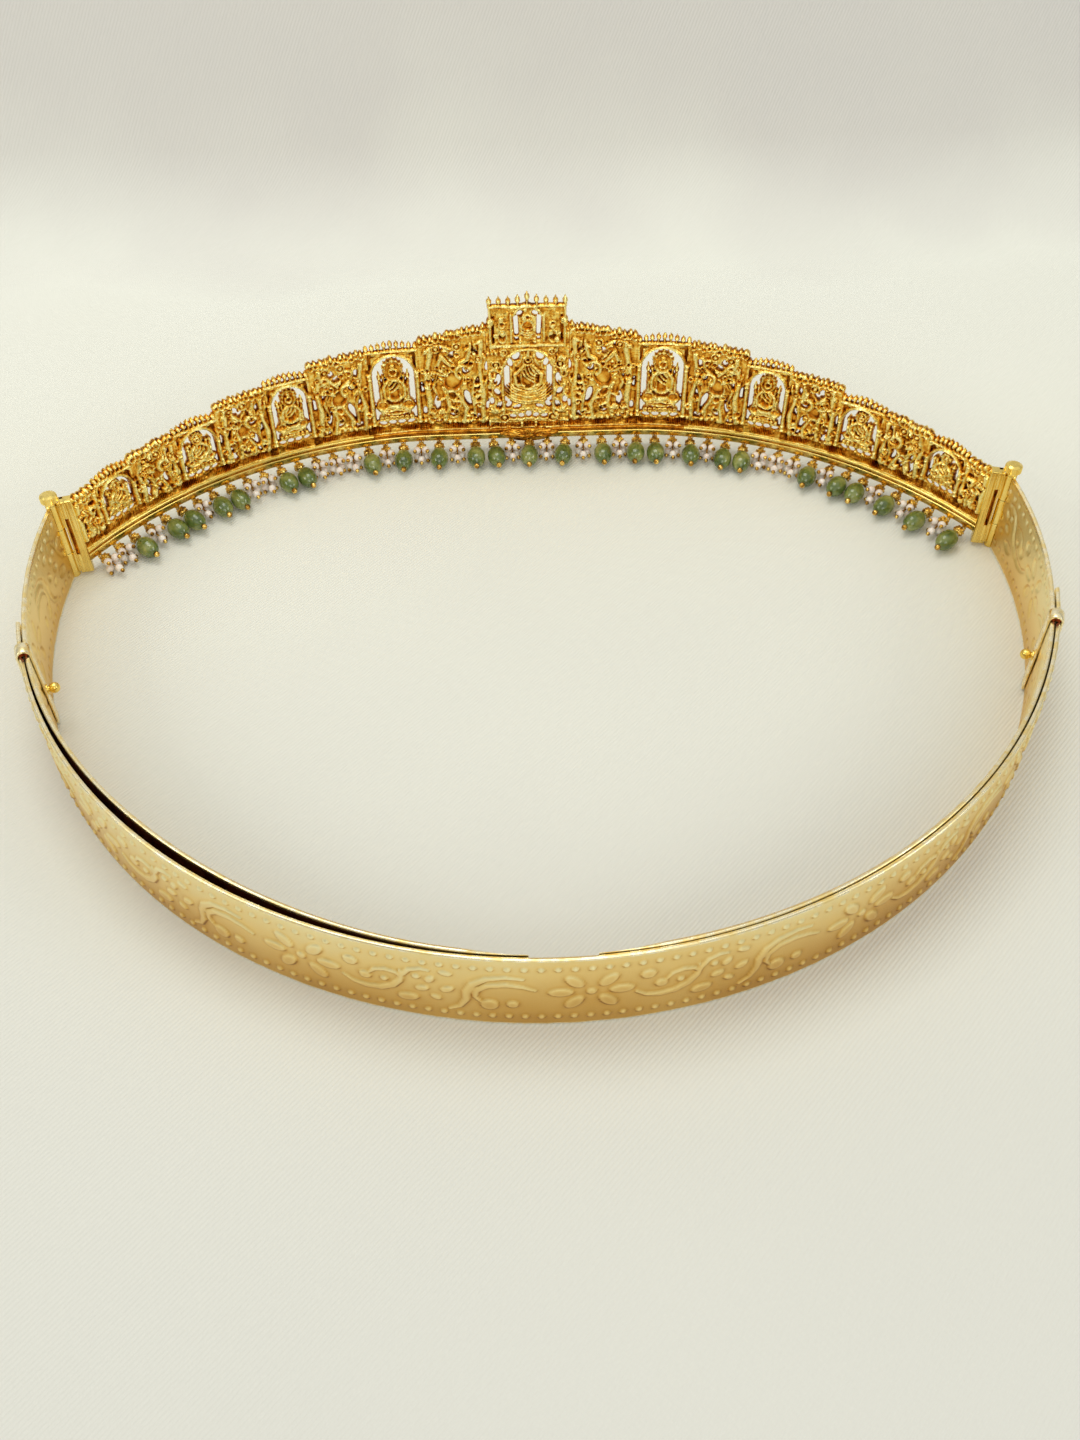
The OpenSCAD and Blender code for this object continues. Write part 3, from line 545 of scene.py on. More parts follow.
def seated_figure(relief, w, top):
    """A seated figure seen from behind its casting: halo, hollow body, arms and crossed legs."""
    x, z, beside, rib, form = relief.x, relief.z, np.abs(relief.x), relief.rib, relief.form
    h = top - NICHE_FOOT

    def at(u, v):
        return u * w, NICHE_FOOT + h * v

    # throne, with a post and a finial at each side
    rib(oval(x, z, *at(0, 0.42), w * 0.74, h * 0.26), 0.12)
    rib(stroke(beside, z, [at(0.66, 0.1), at(0.68, 0.62)], [0.62, 0.45]), 0.55, 0.4)
    for k in range(4):
        rib(disc(beside, z, *at(0.67, 0.2 + 0.13 * k), 0.62), 0.8, 0.5)
    rib(disc(beside, z, *at(0.69, 0.68), 0.7), 0.9, 0.6)
    rib(stroke(beside, z, [at(0.69, 0.7), at(0.7, 0.77)], [0.4, 0.15]), 0.5)
    # crossed legs with folds of cloth
    form(oval(x, z, *at(0, 0.22), w * 0.96, h * 0.15), 1.3, 0.75, rim=0.55)
    for k in range(-3, 4):
        fold = arc_points(*at(k * 0.12, 0.42), h * (0.2 + 0.025 * abs(k)), 212, 328, 9)
        rib(stroke(x, z, fold, taper(0.3, 9)), 0.35 + 0.2 * (k % 2), 0.3)
    form(disc(beside, z, *at(0.62, 0.24), h * 0.085), 1.3, 0.5, rim=0.5, soft=0.7)
    # upper body with its folds and arms
    torso = [at(0, 0.66), at(0, 0.54), at(0, 0.38)]
    form(stroke(x, z, torso, [w * 0.15, w * 0.34, w * 0.30]), 1.35, 0.8, rim=0.6)
    for k in range(3):
        fold = arc_points(*at(0.5, 0.66), w * (0.44 + 0.2 * k), 185, 250, 7)
        rib(stroke(x, z, fold, taper(0.36, 7, 0.5)), 0.6 - 0.1 * k, 0.35)
    arm = [at(0.26, 0.64), at(0.52, 0.54), at(0.5, 0.4), at(0.2, 0.32)]
    rib(stroke(beside, z, arm, [0.5, 0.55, 0.5, 0.35]), 1.0, 0.5)
    rib(stroke(beside, z, [at(0.46, 0.56), at(0.5, 0.69)], [0.4, 0.5]), 0.95, 0.5)
    # halo with the hollow back of the head
    halo_r = h * 0.135
    middle = top - h * 0.2
    halo = [(0, middle + halo_r * 0.25), (0, middle - halo_r * 0.35)]
    form(stroke(x, z, halo, [halo_r * 0.9, halo_r]), 0.8, 0.35, rim=0.75)
    for k in range(9):
        a = math.radians(-20 + k * 27.5)
        rib(disc(x, z, halo_r * math.cos(a), middle + halo_r * (0.1 + math.sin(a)), 0.36), 1.0, 0.3)
    form(disc(x, z, 0, middle - halo_r * 0.35, halo_r * 0.5), 1.5, 1.0, rim=0.35, soft=0.7)
    form(disc(x, z, 0, middle + halo_r * 0.3, halo_r * 0.24), 1.3, 0.3, rim=0.3, soft=0.5)
    rib(stroke(x, z, [(0, middle + halo_r), (0, middle + halo_r + 1.0)], [0.5, 0.2]), 0.8)
    # seat of lotus petals
    for k in range(-3, 4):
        form(oval(x, z, k * w * 0.25, NICHE_FOOT + 0.45, w * 0.14, 1.0), 1.1, 0.4, rim=0.4, soft=0.5)


def bead_base(relief, half, height):
    """Crosshatched wire ground over the rail, as on filigree."""
    x, z = relief.x, relief.z
    relief.plate(bar(x, z, -half, half, PLATE_FOOT, RAIL_H + height))
    turns = 2 * math.pi / WIRE_PITCH
    weave = np.sin((x + z) * turns) * np.sin((x - z) * turns)
    zone = smooth(bar(x, z, -half - 1, half + 1, BASE_FOOT, RAIL_H + height), 0, 0.3)
    for face in (relief.front, relief.back):
        face[relief.rows] += (weave * 0.4 - 0.25) * zone
    # a darker tone over the whole wire ground
    relief.darkening[relief.rows] += 0.27 * zone


def crown_row(relief, w, z, count, peak):
    """Balls on stems along the top of a niche, with a spike on each."""
    x, zz = relief.x, relief.z
    for i in range(count):
        place = (w - 0.7) * (2 * i / (count - 1) - 1)
        foot = z + peak * math.cos(place / w * math.pi / 2) ** 2
        relief.rib(stroke(x, zz, [(place, z - 0.4), (place, foot + 0.5)], [0.5, 0.35]), 0.25)
        relief.rib(disc(x, zz, place, foot + 0.75, 0.72), 0.75, 0.7)
        relief.rib(stroke(x, zz, [(place, foot + 1.2), (place, foot + 2.0)], [0.36, 0.1]), 0.3)


def niche(relief, w, top, crown_z):
    """An arched niche between two columns, with a crown of balls."""
    x, z, beside, rib = relief.x, relief.z, np.abs(relief.x), relief.rib
    arch_w = w - 1.75
    spring_z = top - arch_w
    arch = disc(x, z, 0, spring_z, arch_w)
    relief.plate(bar(x, z, -w - 0.3, w + 0.3, PLATE_FOOT, crown_z))
    relief.pierce(np.maximum(bar(x, z, -arch_w, arch_w, NICHE_FOOT, spring_z), arch), 0.3)
    bead_base(relief, w + 0.3, 3.2)
    for k in (-1.5, -0.5, 0.5, 1.5):
        relief.pierce(oval(x, z, k * w * 0.36, NICHE_FOOT - 1.2, w * 0.15, 0.85 - 0.1 * abs(k), 12 * k))
    # sunk spandrels beside the arch
    corner = [(w - 1.5, crown_z - 1.9), (w - 3.1, crown_z - 1.7)]
    relief.groove(stroke(beside, z, corner, [0.75, 0.35]), 0.85)
    relief.groove(stroke(beside, z, [(w - 1.3, crown_z - 2.2), (w - 1.2, spring_z)], [0.6, 0.25]), 0.8)
    rib(np.minimum(np.minimum(disc(x, z, 0, spring_z, arch_w + 0.95), -arch), z - spring_z), 1.0, 0.45)
    # columns with a foot, a ring and a capital
    column = w - 0.85
    rib(bar(beside, z, column - 0.62, column + 0.62, RAIL_H + 3.6, spring_z + 0.6), 1.0, 0.6)
    for height, wide in ((RAIL_H + 4.2, 0.95), (RAIL_H + 5.6, 0.8),
                         (spring_z - 0.6, 0.85), (spring_z + 0.8, 1.05)):
        rib(oval(beside, z, column, height, wide, 0.42), 1.25, 0.35)
    seated_figure(relief, arch_w, top)
    rib(bar(x, z, -w, w, crown_z - 0.75, crown_z + 0.1), 0.45, 0.4)
    crown_row(relief, w, crown_z, 9, 1.0)


def leaf_path(px, pz, turn, long):
    """The three points of a leaf that leans by a turn in degrees."""
    dx, dz = long * math.cos(math.radians(turn)), long * math.sin(math.radians(turn))
    return [(px - dx, pz - dz), (px, pz), (px + dx, pz + dz)]


def leaf_cluster(relief, cx, cz, size, count, start, spread):
    """Leaves that fan out from one place."""
    for k in range(count):
        a = math.radians(start + spread * k / (count - 1))
        end = (cx + size * math.cos(a), cz + size * math.sin(a))
        path = [(cx, cz), ((cx + end[0]) / 2, (cz + end[1]) / 2), end]
        relief.rib(stroke(relief.x, relief.z, path, [0.2, 0.5, 0.15]), 0.5 + 0.1 * (k % 2), 0.4)


def rosette(relief, x, cx, cz, r):
    """A raised ring round a sunk eye with a ball in it."""
    relief.form(disc(x, relief.z, cx, cz, r), 0.6, 0.45, rim=0.5, soft=0.6)
    relief.rib(disc(x, relief.z, cx, cz, r * 0.42), 0.55, 0.5)


# A bird section's trunks: path, half width and rise. u runs from -1 beside the tower to 1 outwards,
# and v from the base to the crest
STEMS = [([(0.80, 0.02), (0.74, 0.34), (0.80, 0.62), (0.66, 0.92)], 1.15, 1.0),
         ([(-0.80, 0.02), (-0.86, 0.30), (-0.72, 0.58), (-0.80, 0.90)], 1.05, 0.9),
         ([(0.30, 0.02), (0.22, 0.22), (0.34, 0.42)], 0.85, 0.8),
         ([(-0.22, 0.00), (-0.30, 0.16), (-0.10, 0.34)], 0.85, 0.9),
         ([(-0.56, 0.10), (-0.50, 0.34), (-0.64, 0.52)], 0.7, 1.2),
         ([(0.10, 0.70), (0.34, 0.80), (0.50, 0.70)], 0.8, 1.1),
         ([(-0.20, 0.68), (-0.46, 0.74), (-0.52, 0.90)], 0.8, 1.0),
         ([(0.50, 0.30), (0.58, 0.46), (0.46, 0.60)], 0.6, 1.3)]
STEM_SWELL = (0.85, 1.0, 0.7, 0.95)
# Its gaps: u, v, half width, half height and lean in degrees
GAPS = [(0.49, 0.24, 0.72, 3.1, 6), (-0.36, 0.27, 0.8, 2.3, -26), (-0.42, 0.64, 0.95, 1.7, 8),
        (0.52, 0.58, 0.7, 1.8, 20), (-0.66, 0.42, 0.62, 1.6, 12), (0.06, 0.12, 0.85, 1.3, 30),
        (-0.60, 0.06, 0.9, 0.8, 0), (0.58, 0.03, 0.9, 0.75, 0), (0.26, 0.88, 0.8, 1.0, -30),
        (-0.64, 0.80, 0.7, 1.2, 25), (0.02, 0.80, 0.6, 1.1, 60), (0.94, 0.46, 0.6, 1.5, 0),
        (-0.96, 0.60, 0.6, 1.3, 0), (-0.96, 0.16, 0.55, 1.2, 0), (0.94, 0.16, 0.55, 1.1, 0),
        (0.28, 0.60, 0.5, 1.2, 50)]


def bird(relief, w, h_in, h_out, seed):
    """A peacock in a thicket: trunks, leaves, curls and buds, with open ground between them."""
    x, z, rib, form = relief.x, relief.z, relief.rib, relief.form
    draw = np.random.default_rng(seed)
    mid = (h_in + h_out) / 2
    fall = (h_in - h_out) / (2 * w)
    tall = mid - RAIL_H
    foot = RAIL_H + 3.1
    flip = -1 if seed % 2 else 1
    roomy = w > 6

    def at(u, v, stray=1.0):
        px = flip * (u + stray * draw.uniform(-0.05, 0.05)) * w
        return px, foot + (v + stray * draw.uniform(-0.02, 0.02)) * (mid - px * fall - 1.9 - foot)

    relief.plate(np.minimum(bar(x, z, -w - 0.3, w + 0.3, PLATE_FOOT, 99), mid - x * fall - 0.9 - z))
    for u, v, rx, rz, turn in GAPS if w > 9 else GAPS[:12] if roomy else GAPS[:5]:
        place = at(u, v)
        rx, rz = rx * draw.uniform(1.0, 1.35), rz * draw.uniform(0.9, 1.3) * (0.55 + tall / 70)
        relief.pierce(oval(x, z, *place, rx, rz, flip * turn + draw.uniform(-10, 10)), 0.3)
    bead_base(relief, w + 0.3, 2.9)
    # trunks and branches
    for path, half, rise in STEMS if roomy else STEMS[:4]:
        wide = half * (0.62 + w / 28)
        rib(stroke(x, z, [at(u, v) for u, v in path], [wide * share for share in STEM_SWELL]), rise, 1.0)
    # leaves of three kinds between them
    for _ in range(round(w * tall * 0.16)):
        px, pz = at(draw.uniform(-0.95, 0.95), draw.uniform(0.03, 0.93), 0.0)
        turn = draw.uniform(20, 160)
        leaf = leaf_path(px, pz, turn, draw.uniform(0.9, 1.8))
        kind = draw.random()
        if kind < 0.5:
            rib(stroke(x, z, leaf, [0.2, draw.uniform(0.5, 0.8), 0.2]), draw.uniform(0.8, 1.5), 0.6)
        elif kind < 0.8:
            form(disc(x, z, px, pz, draw.uniform(0.8, 1.15)), draw.uniform(0.6, 1.3), 0.6, rim=0.5, soft=0.6)
        else:
            curl = arc_points(px, pz, 1.25, turn, turn + 330, 11, 0.4)
            rib(stroke(x, z, curl, tail(0.4, 11, 0.6)), 1.2, 0.4)
    # body, wing, neck and head of the bird, which faces the panel's middle, and its tail
    bx, bz = at(0.02, 0.50, 0.0)
    form(oval(x, z, bx, bz, w * 0.30, tall * 0.125, 24 * flip), 1.7, 1.25, rim=0.7)
    form(oval(x, z, bx + flip * w * 0.05, bz - tall * 0.15, w * 0.15, tall * 0.06, -30), 1.2, 0.9, rim=0.4,
         soft=0.6)
    neck = arc_points(bx - flip * w * 0.30, bz + tall * 0.10, w * 0.22, 90 - flip * 150, 90 + flip * 60, 11)
    rib(stroke(x, z, neck, tail(0.75, 11, 0.6)), 1.5, 0.7)
    rib(disc(x, z, *neck[-1], 0.95), 1.6, 0.9)
    for k in range(4):
        tip = at(0.30 + 0.16 * k, 0.66 + 0.05 * math.sin(2.1 * k))
        rib(stroke(x, z, [(bx + flip * w * 0.16, bz + tall * 0.06), tip], [0.4, 0.35]), 1.2, 0.4)
        form(disc(x, z, *tip, 0.95), 1.3, 0.6, rim=0.6, soft=0.5)
    for u, v, r in ((-0.12, 0.90, 1.5), (0.48, 0.90, 1.4), (-0.72, 0.70, 1.3))[:3 if roomy else 1]:
        rosette(relief, x, *at(u, v), r)
    # buds along the foot
    feet = max(4, round(w / 0.95))
    for i in range(feet):
        spot = -w + (i + draw.uniform(0.3, 0.7)) * 2 * w / feet
        bud = disc(x, z, spot, foot + draw.uniform(0.1, 1.1), draw.uniform(0.5, 0.8))
        rib(bud, draw.uniform(0.7, 1.3), 0.6)
    # uneven buds and leaf tips along the top
    lobes = max(4, round(w / 0.8))
    for i in range(lobes):
        spot = -w + (2 * i + 1) * w / lobes
        top = mid - spot * fall - 0.9 + draw.uniform(-0.45, 0.35)
        form(disc(x, z, spot, top - 0.5, draw.uniform(1.0, 1.35)), 1.1, 0.4, rim=0.7, soft=0.5)
        tip = disc(x, z, spot + draw.uniform(-0.3, 0.3), top + 0.5, draw.uniform(0.45, 0.68))
        rib(tip, draw.uniform(0.8, 1.4), 0.55)


# Gaps on both sides of the tower: places as shares of its half width and its height,
# half width, half height, lean in degrees and rim
TOWER_GAPS = [(0.30, 0.635, 0.95, 1.35, 20, 0.30), (0.45, 0.585, 0.60, 1.25, -12, 0.25),
              (0.50, 0.265, 0.62, 0.95, 25, 0.20), (0.29, 0.245, 0.95, 0.55, -20, 0.20),
              (0.77, 0.455, 0.72, 1.70, 10, 0.25), (0.79, 0.365, 0.66, 1.05, -24, 0.25),
              (0.74, 0.265, 0.50, 0.90, 20, 0.20), (0.93, 0.295, 0.55, 1.00, 0, 0.20),
              (0.19, 0.942, 0.75, 0.60, -35, 0.20), (0.27, 0.765, 0.36, 0.36, 0, 0.10),
              (0.40, 0.170, 0.85, 0.55, 15, 0.20)]
GAP_GROWTH = 0.14


def tower(relief):
    """The middle casting: a large niche, a small one over it, side scrolls and spikes."""
    x, z, beside, rib, form = relief.x, relief.z, np.abs(relief.x), relief.rib, relief.form
    w, h = TOWER_W, TOWER_H
    shoulder = h * 0.875
    relief.plate(bar(x, z, -w - 0.5, w + 0.5, PLATE_FOOT, shoulder))
    relief.plate(bar(x, z, -w + 0.7, w - 0.7, shoulder - 1, h))
    bead_base(relief, w, 2.2)

    def at(u, v):
        return u * w, h * v

    # slots and small gaps round both figures
    for low, high, widths, rim in (((0.535, 0.30), (0.545, 0.545), (0.62, 0.78), 0.25),
                                   ((0.27, 0.80), (0.285, 0.915), (0.42, 0.5), 0.3)):
        relief.pierce(stroke(beside, z, [at(*low), at(*high)], widths) + GAP_GROWTH, rim)
    for u, v, rx, rz, lean, rim in TOWER_GAPS:
        relief.pierce(oval(beside, z, *at(u, v), rx, rz, lean) + GAP_GROWTH, rim)
    for k, tall in ((0, 0.95), (-1, 0.75), (1, 0.75)):
        relief.pierce(oval(x, z, k * w * 0.19, h * 0.185 - abs(k) * 0.5, 0.75, tall) + GAP_GROWTH, 0.2)
    # aura, flames and frame of the large niche
    arch_w = w * 0.62
    arch = arc_points(0, h * 0.68 - arch_w * 0.98, arch_w + 0.2, 18, 162, 19)
    rib(stroke(x, z, arch, [0.5] * 19), 0.75)
    rib(stroke(beside, z, [(w * 0.63, RAIL_H + 2.6), at(0.64, 0.56)], [0.55, 0.5]), 0.75)
    for height in (RAIL_H + 3.2, h * 0.35, h * 0.56):
        rib(oval(beside, z, w * 0.635, height, 0.95, 0.45), 0.85, 0.35)
    rib(stroke(beside, z, [at(0.3, 0.565), at(0.2, 0.60), at(0.14, 0.645)], [0.2, 0.5, 0.25]), 0.7)
    # rings, scrolls and leaves beside the arch
    rosette(relief, beside, *at(0.80, 0.575), 1.55)
    rosette(relief, beside, *at(0.60, 0.665), 1.2)
    rib(stroke(beside, z, arc_points(*at(0.86, 0.50), 1.7, 90, -210, 15, 0.5), tail(0.5, 15, 0.5)), 0.7)
    rosette(relief, beside, *at(0.62, 0.165), 1.75)
    for side in (-1, 1):
        leaf_cluster(relief, side * w * 0.86, h * 0.2, 2.6, 5, 30, 120)
        leaf_cluster(relief, side * w * 0.9, h * 0.40, 2.2, 4, 50, 90)
    # sunk panels in the upper frame, with a small bust in each
    relief.groove(bar(beside, z, w * 0.80, w * 0.87, h * 0.73, h * 0.93), 0.7)
    form(oval(beside, z, *at(0.62, 0.78), 1.5, 2.4), 0.8, 0.6, rim=0.45)
    form(disc(beside, z, *at(0.62, 0.865), 1.15), 0.8, 0.5, rim=0.4, soft=0.7)
    rib(stroke(beside, z, [at(0.40, 0.75), at(0.40, 0.93)], [0.5, 0.45]), 0.7)
    rib(bar(beside, z, w * 0.88, w * 0.95, h * 0.70, h - 0.5), 0.65, 0.4)
    rib(disc(beside, z, w - 1.25, shoulder + 0.7, 1.2), 0.9, 0.8)
    rib(disc(beside, z, w - 0.9, shoulder - 0.6, 0.8), 0.8, 0.6)
    # the large seated figure
    form(oval(x, z, *at(0, 0.42), w * 0.40, h * 0.16), 0.9, 0.45)
    torso = [at(0, 0.55), at(0, 0.50), at(0, 0.43)]
    form(stroke(x, z, torso, [w * 0.10, w * 0.21, w * 0.19]), 1.45, 0.9, rim=0.6)
    for k in range(4):
        fold = arc_points(*at(0.32, 0.555), w * (0.22 + 0.085 * k), 185, 255, 9)
        rib(stroke(x, z, fold, taper(0.38, 9, 0.5)), 0.65 - 0.08 * k, 0.4)
    for k in range(7):
        fold = arc_points(*at(0, 0.50), h * (0.115 + 0.018 * k), 212, 328, 15)
        rib(stroke(x, z, fold, taper(0.46, 15, 0.4)), 0.5 + 0.22 * (k % 2), 0.35)
    arm = [at(0.12, 0.565), at(0.34, 0.50), at(0.30, 0.43), at(0.1, 0.41)]
    rib(stroke(beside, z, arm, [0.5, 0.6, 0.5, 0.35]), 0.85)
    form(disc(x, z, *at(0, 0.60), 1.75), 0.9, 0.5, rim=0.5, soft=0.8)
    form(disc(x, z, *at(0, 0.605), 1.0), 1.5, 0.75, rim=0.3, soft=0.7)
    rib(stroke(x, z, [at(0, 0.645), at(0, 0.685)], [0.7, 0.3]), 0.8)
    for k in range(-3, 4):
        petal = oval(x, z, k * w * 0.15, h * 0.225 - abs(k) * 0.25, w * 0.07, 0.85)
        form(petal, 0.8, 0.3, rim=0.25, soft=0.5)
    # the small figure and its arch
    form(oval(x, z, *at(0, 0.835), w * 0.17, h * 0.075), 0.95, 0.5, rim=0.45)
    form(disc(x, z, *at(0, 0.915), 1.05), 1.1, 0.5, rim=0.35, soft=0.7)
    for k in range(3):
        rib(stroke(x, z, arc_points(*at(0, 0.86), 1.7 + 0.75 * k, 215, 325, 9), taper(0.36, 9)), 0.6, 0.3)
    rib(stroke(x, z, arc_points(*at(0, 0.905), w * 0.355, 15, 165, 13), [0.45] * 13), 0.8)
    # leaves beside the large niche and buds on the upper frame, only where there is metal
    draw = np.random.default_rng(8)
    for _ in range(46):
        side = draw.choice((-1, 1))
        px, pz = side * w * draw.uniform(0.62, 0.97), h * draw.uniform(0.16, 0.68)
        leaf = leaf_path(px, pz, draw.uniform(30, 150), 1.1)
        inside = relief.metal[relief.rows] > 0.25
        d = stroke(x, z, leaf, [0.2, draw.uniform(0.45, 0.75), 0.2])
        rib(np.where(inside, d, -9), draw.uniform(0.7, 1.3), 0.6)
    for _ in range(16):
        px, pz = w * draw.uniform(-0.9, 0.9), h * draw.uniform(0.74, 0.97)
        d = disc(x, z, px, pz, draw.uniform(0.6, 0.95))
        rib(np.where(relief.metal[relief.rows] > 0.3, d, -9), draw.uniform(0.5, 1.0), 0.6)
    # cornice and its spikes
    rib(bar(x, z, -w + 0.5, w - 0.5, h * 0.705, h * 0.725), 0.6, 0.3)
    rib(bar(x, z, -w + 0.4, w - 0.4, h - 0.8, h + 0.1), 0.6, 0.4)
    for i in range(9):
        place = (2 * i / 8 - 1) * w * 0.917
        top = h + max(0.0, 1.4 - abs(place) * 0.35)
        rib(stroke(x, z, [(place, h - 0.4), (place, top + 1.2)], [0.55, 0.4]), 0.3)
        rib(disc(x, z, place, top + 1.1, 0.78), 0.8, 0.7)
        rib(stroke(x, z, [(place, top + 1.7), (place, top + 2.6)], [0.42, 0.1]), 0.35)
    for share in (0.74, 0.76, 0.1, 0.12):
        rib(disc(beside, z, *at(0.18, share), 0.5), 0.6, 0.4)


def wing(mirror):
    """One wing of the panel, made of its castings in turn."""
    relief = Relief(WING_START - LAP / 2, PANEL_HALF + 0.6, GRID_FOOT, TOWER_H, WING_STEP)
    start = WING_START
    for i, (share, is_niche, low, high) in enumerate(SECTIONS):
        half = share * (PANEL_HALF - WING_START) / 2
        relief.at(start + half, half + 1.2)
        if is_niche:
            niche(relief, half, low * TOWER_H, high * TOWER_H)
        else:
            bird(relief, half, low * TOWER_H, high * TOWER_H, 10 + i)
        start += 2 * half
    relief.roughen(seed=7, amount=0.10, size_mm=2.2)
    relief.roughen(seed=5, amount=0.06, size_mm=0.7)
    relief.metal = np.minimum(relief.metal, relief.S - WING_START + 0.04)
    return relief.piece("pierced_wing_left" if mirror else "pierced_wing_right", mirror)


def centre_tower():
    """The tower, which closes the joints to both wings."""
    relief = Relief(-TOWER_W - LAP, TOWER_W + LAP, GRID_FOOT, TOWER_H + SPIKES_H, TOWER_STEP)
    tower(relief)
    relief.roughen(seed=4, amount=0.16, size_mm=2.0)
    relief.roughen(seed=3, amount=0.06, size_mm=0.6)
    return relief.piece("centre_tower")


# Sweeps and solids

def skin(name, rings, finish, closed=False, hollow=0.3):
    """A closed skin through rings of points with one count, capped unless the rings close on themselves."""
    rings = np.asarray(rings, float)
    count, around = rings.shape[:2]
    index = np.arange(count * around).reshape(count, around)
    near, far = (index, np.roll(index, -1, 0)) if closed else (index[:-1], index[1:])
    faces = np.stack([near, np.roll(near, -1, 1), np.roll(far, -1, 1), far], -1).reshape(-1, 4).tolist()
    if not closed:
        faces += [index[0][::-1].tolist(), index[-1].tolist()]
    made = mesh_object(name, rings.reshape(-1, 3), faces, [finish],
                       hollow=np.broadcast_to(hollow, count * around))
    work = bmesh.new()
    work.from_mesh(made.data)
    bmesh.ops.recalc_face_normals(work, faces=work.faces)
    work.to_mesh(made.data)
    work.free()
    made.data.set_sharp_from_angle(angle=math.radians(40))
    return made


def lathe(name, profile, base, axis, finish, count=28):
    """A turned ring: profile holds its closed section as (radius, height) along the axis from its base."""
    axis = Vector(axis).normalized()
    side = axis.orthogonal().normalized()
    other = axis.cross(side)
    turns = [2 * math.pi * k / count for k in range(count)]
    rings = [[Vector(base) + axis * h + (side * math.cos(a) + other * math.sin(a)) * r for a in turns]
             for r, h in profile]
    return skin(name, rings, finish, closed=True)


def joined(name, parts):
    """One object from several."""
    with bpy.context.temp_override(active_object=parts[0], object=parts[0], selected_objects=parts,
                                   selected_editable_objects=parts):
        bpy.ops.object.join()
    parts[0].name = name
    return parts[0]


def mirrored(thing, name):
    """The same piece on the other side of the belt, with its faces turned outwards again."""
    mesh = thing.data.copy()
    mesh.transform(Matrix.Scale(-1, 4, Vector((1, 0, 0))))
    mesh.flip_normals()
    return placed(name, mesh)


def rounded(width, height, bevel, steps=2):
    """Outline of a rectangle with rounded corners, about its middle."""
    points = []
    for cx, cy, start in ((1, 1, 0), (-1, 1, 90), (-1, -1, 180), (1, -1, 270)):
        for k in range(steps + 1):
            a = math.radians(start + 90 * k / steps)
            points.append((cx * (width / 2 - bevel) + bevel * math.cos(a),
                           cy * (height / 2 - bevel) + bevel * math.sin(a)))
    return np.array(points)


# A tree that repeats one small shape

def repeat_tree():
    """Copies of a unit on points, each turned and sized by the points' own attributes."""
    tree = bpy.data.node_groups.new("repeat_on_points", "GeometryNodeTree")
    sockets = tree.interface
    sockets.new_socket("Geometry", in_out="OUTPUT", socket_type="NodeSocketGeometry")
    for name, kind in (("Points", "Geometry"), ("Unit", "Object"), ("Size", "Float"), ("Finish", "Material")):
        sockets.new_socket(name, in_out="INPUT", socket_type=f"NodeSocket{kind}")
    given = node(tree, "NodeGroupInput")
    unit = node(tree, "GeometryNodeObjectInfo", {"Object": given.outputs["Unit"]})
    turn = node(tree, "GeometryNodeInputNamedAttribute", {"Name": "turn"}, data_type="FLOAT_VECTOR")
    grow = node(tree, "GeometryNodeInputNamedAttribute", {"Name": "grow"}, data_type="FLOAT")
    scale = node(tree, "ShaderNodeMath", {0: grow, 1: given.outputs["Size"]}, operation="MULTIPLY")
    copies = node(tree, "GeometryNodeInstanceOnPoints",
                  {"Points": given.outputs["Points"], "Instance": unit.outputs["Geometry"],
                   "Rotation": turn, "Scale": scale})
    whole = node(tree, "GeometryNodeRealizeInstances", {"Geometry": copies})
    dressed = node(tree, "GeometryNodeSetMaterial", {"Geometry": whole, "Material": given.outputs["Finish"]})
    node(tree, "NodeGroupOutput", {0: dressed})
    return tree


REPEAT = repeat_tree()


def repeated(name, unit, points, turns, grows, size, finish):
    """The unit at every point, as one plain mesh."""
    mesh = bpy.data.meshes.new(name + "_points")
    mesh.from_pydata(np.asarray(points) * MM, [], [])
    turn = mesh.attributes.new("turn", "FLOAT_VECTOR", "POINT")
    turn.data.foreach_set("vector", np.asarray(turns, np.float32).ravel())
    mesh.attributes.new("grow", "FLOAT", "POINT").data.foreach_set("value", np.asarray(grows, np.float32))
    holder = placed(name + "_points", mesh)
    modifier = holder.modifiers.new("Repeat", "NODES")
    modifier.node_group = REPEAT
    wanted = {"Unit": unit, "Size": size, "Finish": finish}
    for item in REPEAT.interface.items_tree:
        if item.in_out == "INPUT" and item.name in wanted:
            modifier[item.identifier] = wanted[item.name]
    holder.update_tag()
    done = bpy.data.meshes.new_from_object(holder.evaluated_get(bpy.context.evaluated_depsgraph_get()))
    holder.modifiers.remove(modifier)
    bpy.data.objects.remove(holder)
    bpy.data.objects.remove(unit)
    done.name = name
    done.shade_smooth()
    done.set_sharp_from_angle(angle=math.radians(50))
    return placed(name, done)


def grain_unit():
    """A small ball of radius 1 mm."""
    mesh = bpy.data.meshes.new("grain")
    work = bmesh.new()
    bmesh.ops.create_icosphere(work, subdivisions=1, radius=MM)
    work.to_mesh(mesh)
    work.free()
    return placed("grain", mesh)


def ring_unit(r, wire, flat):
    """A flat ring in the x-z plane, for an eyelet."""
    around, across = (np.linspace(0, 2 * math.pi, count, endpoint=False) for count in (20, 8))
    section = [(r + wire * math.cos(b), flat * math.sin(b)) for b in across]
    rings = [[(reach * math.cos(a), out, reach * math.sin(a)) for reach, out in section] for a in around]
    return skin("eyelet", rings, POLISHED, closed=True)


# Strips

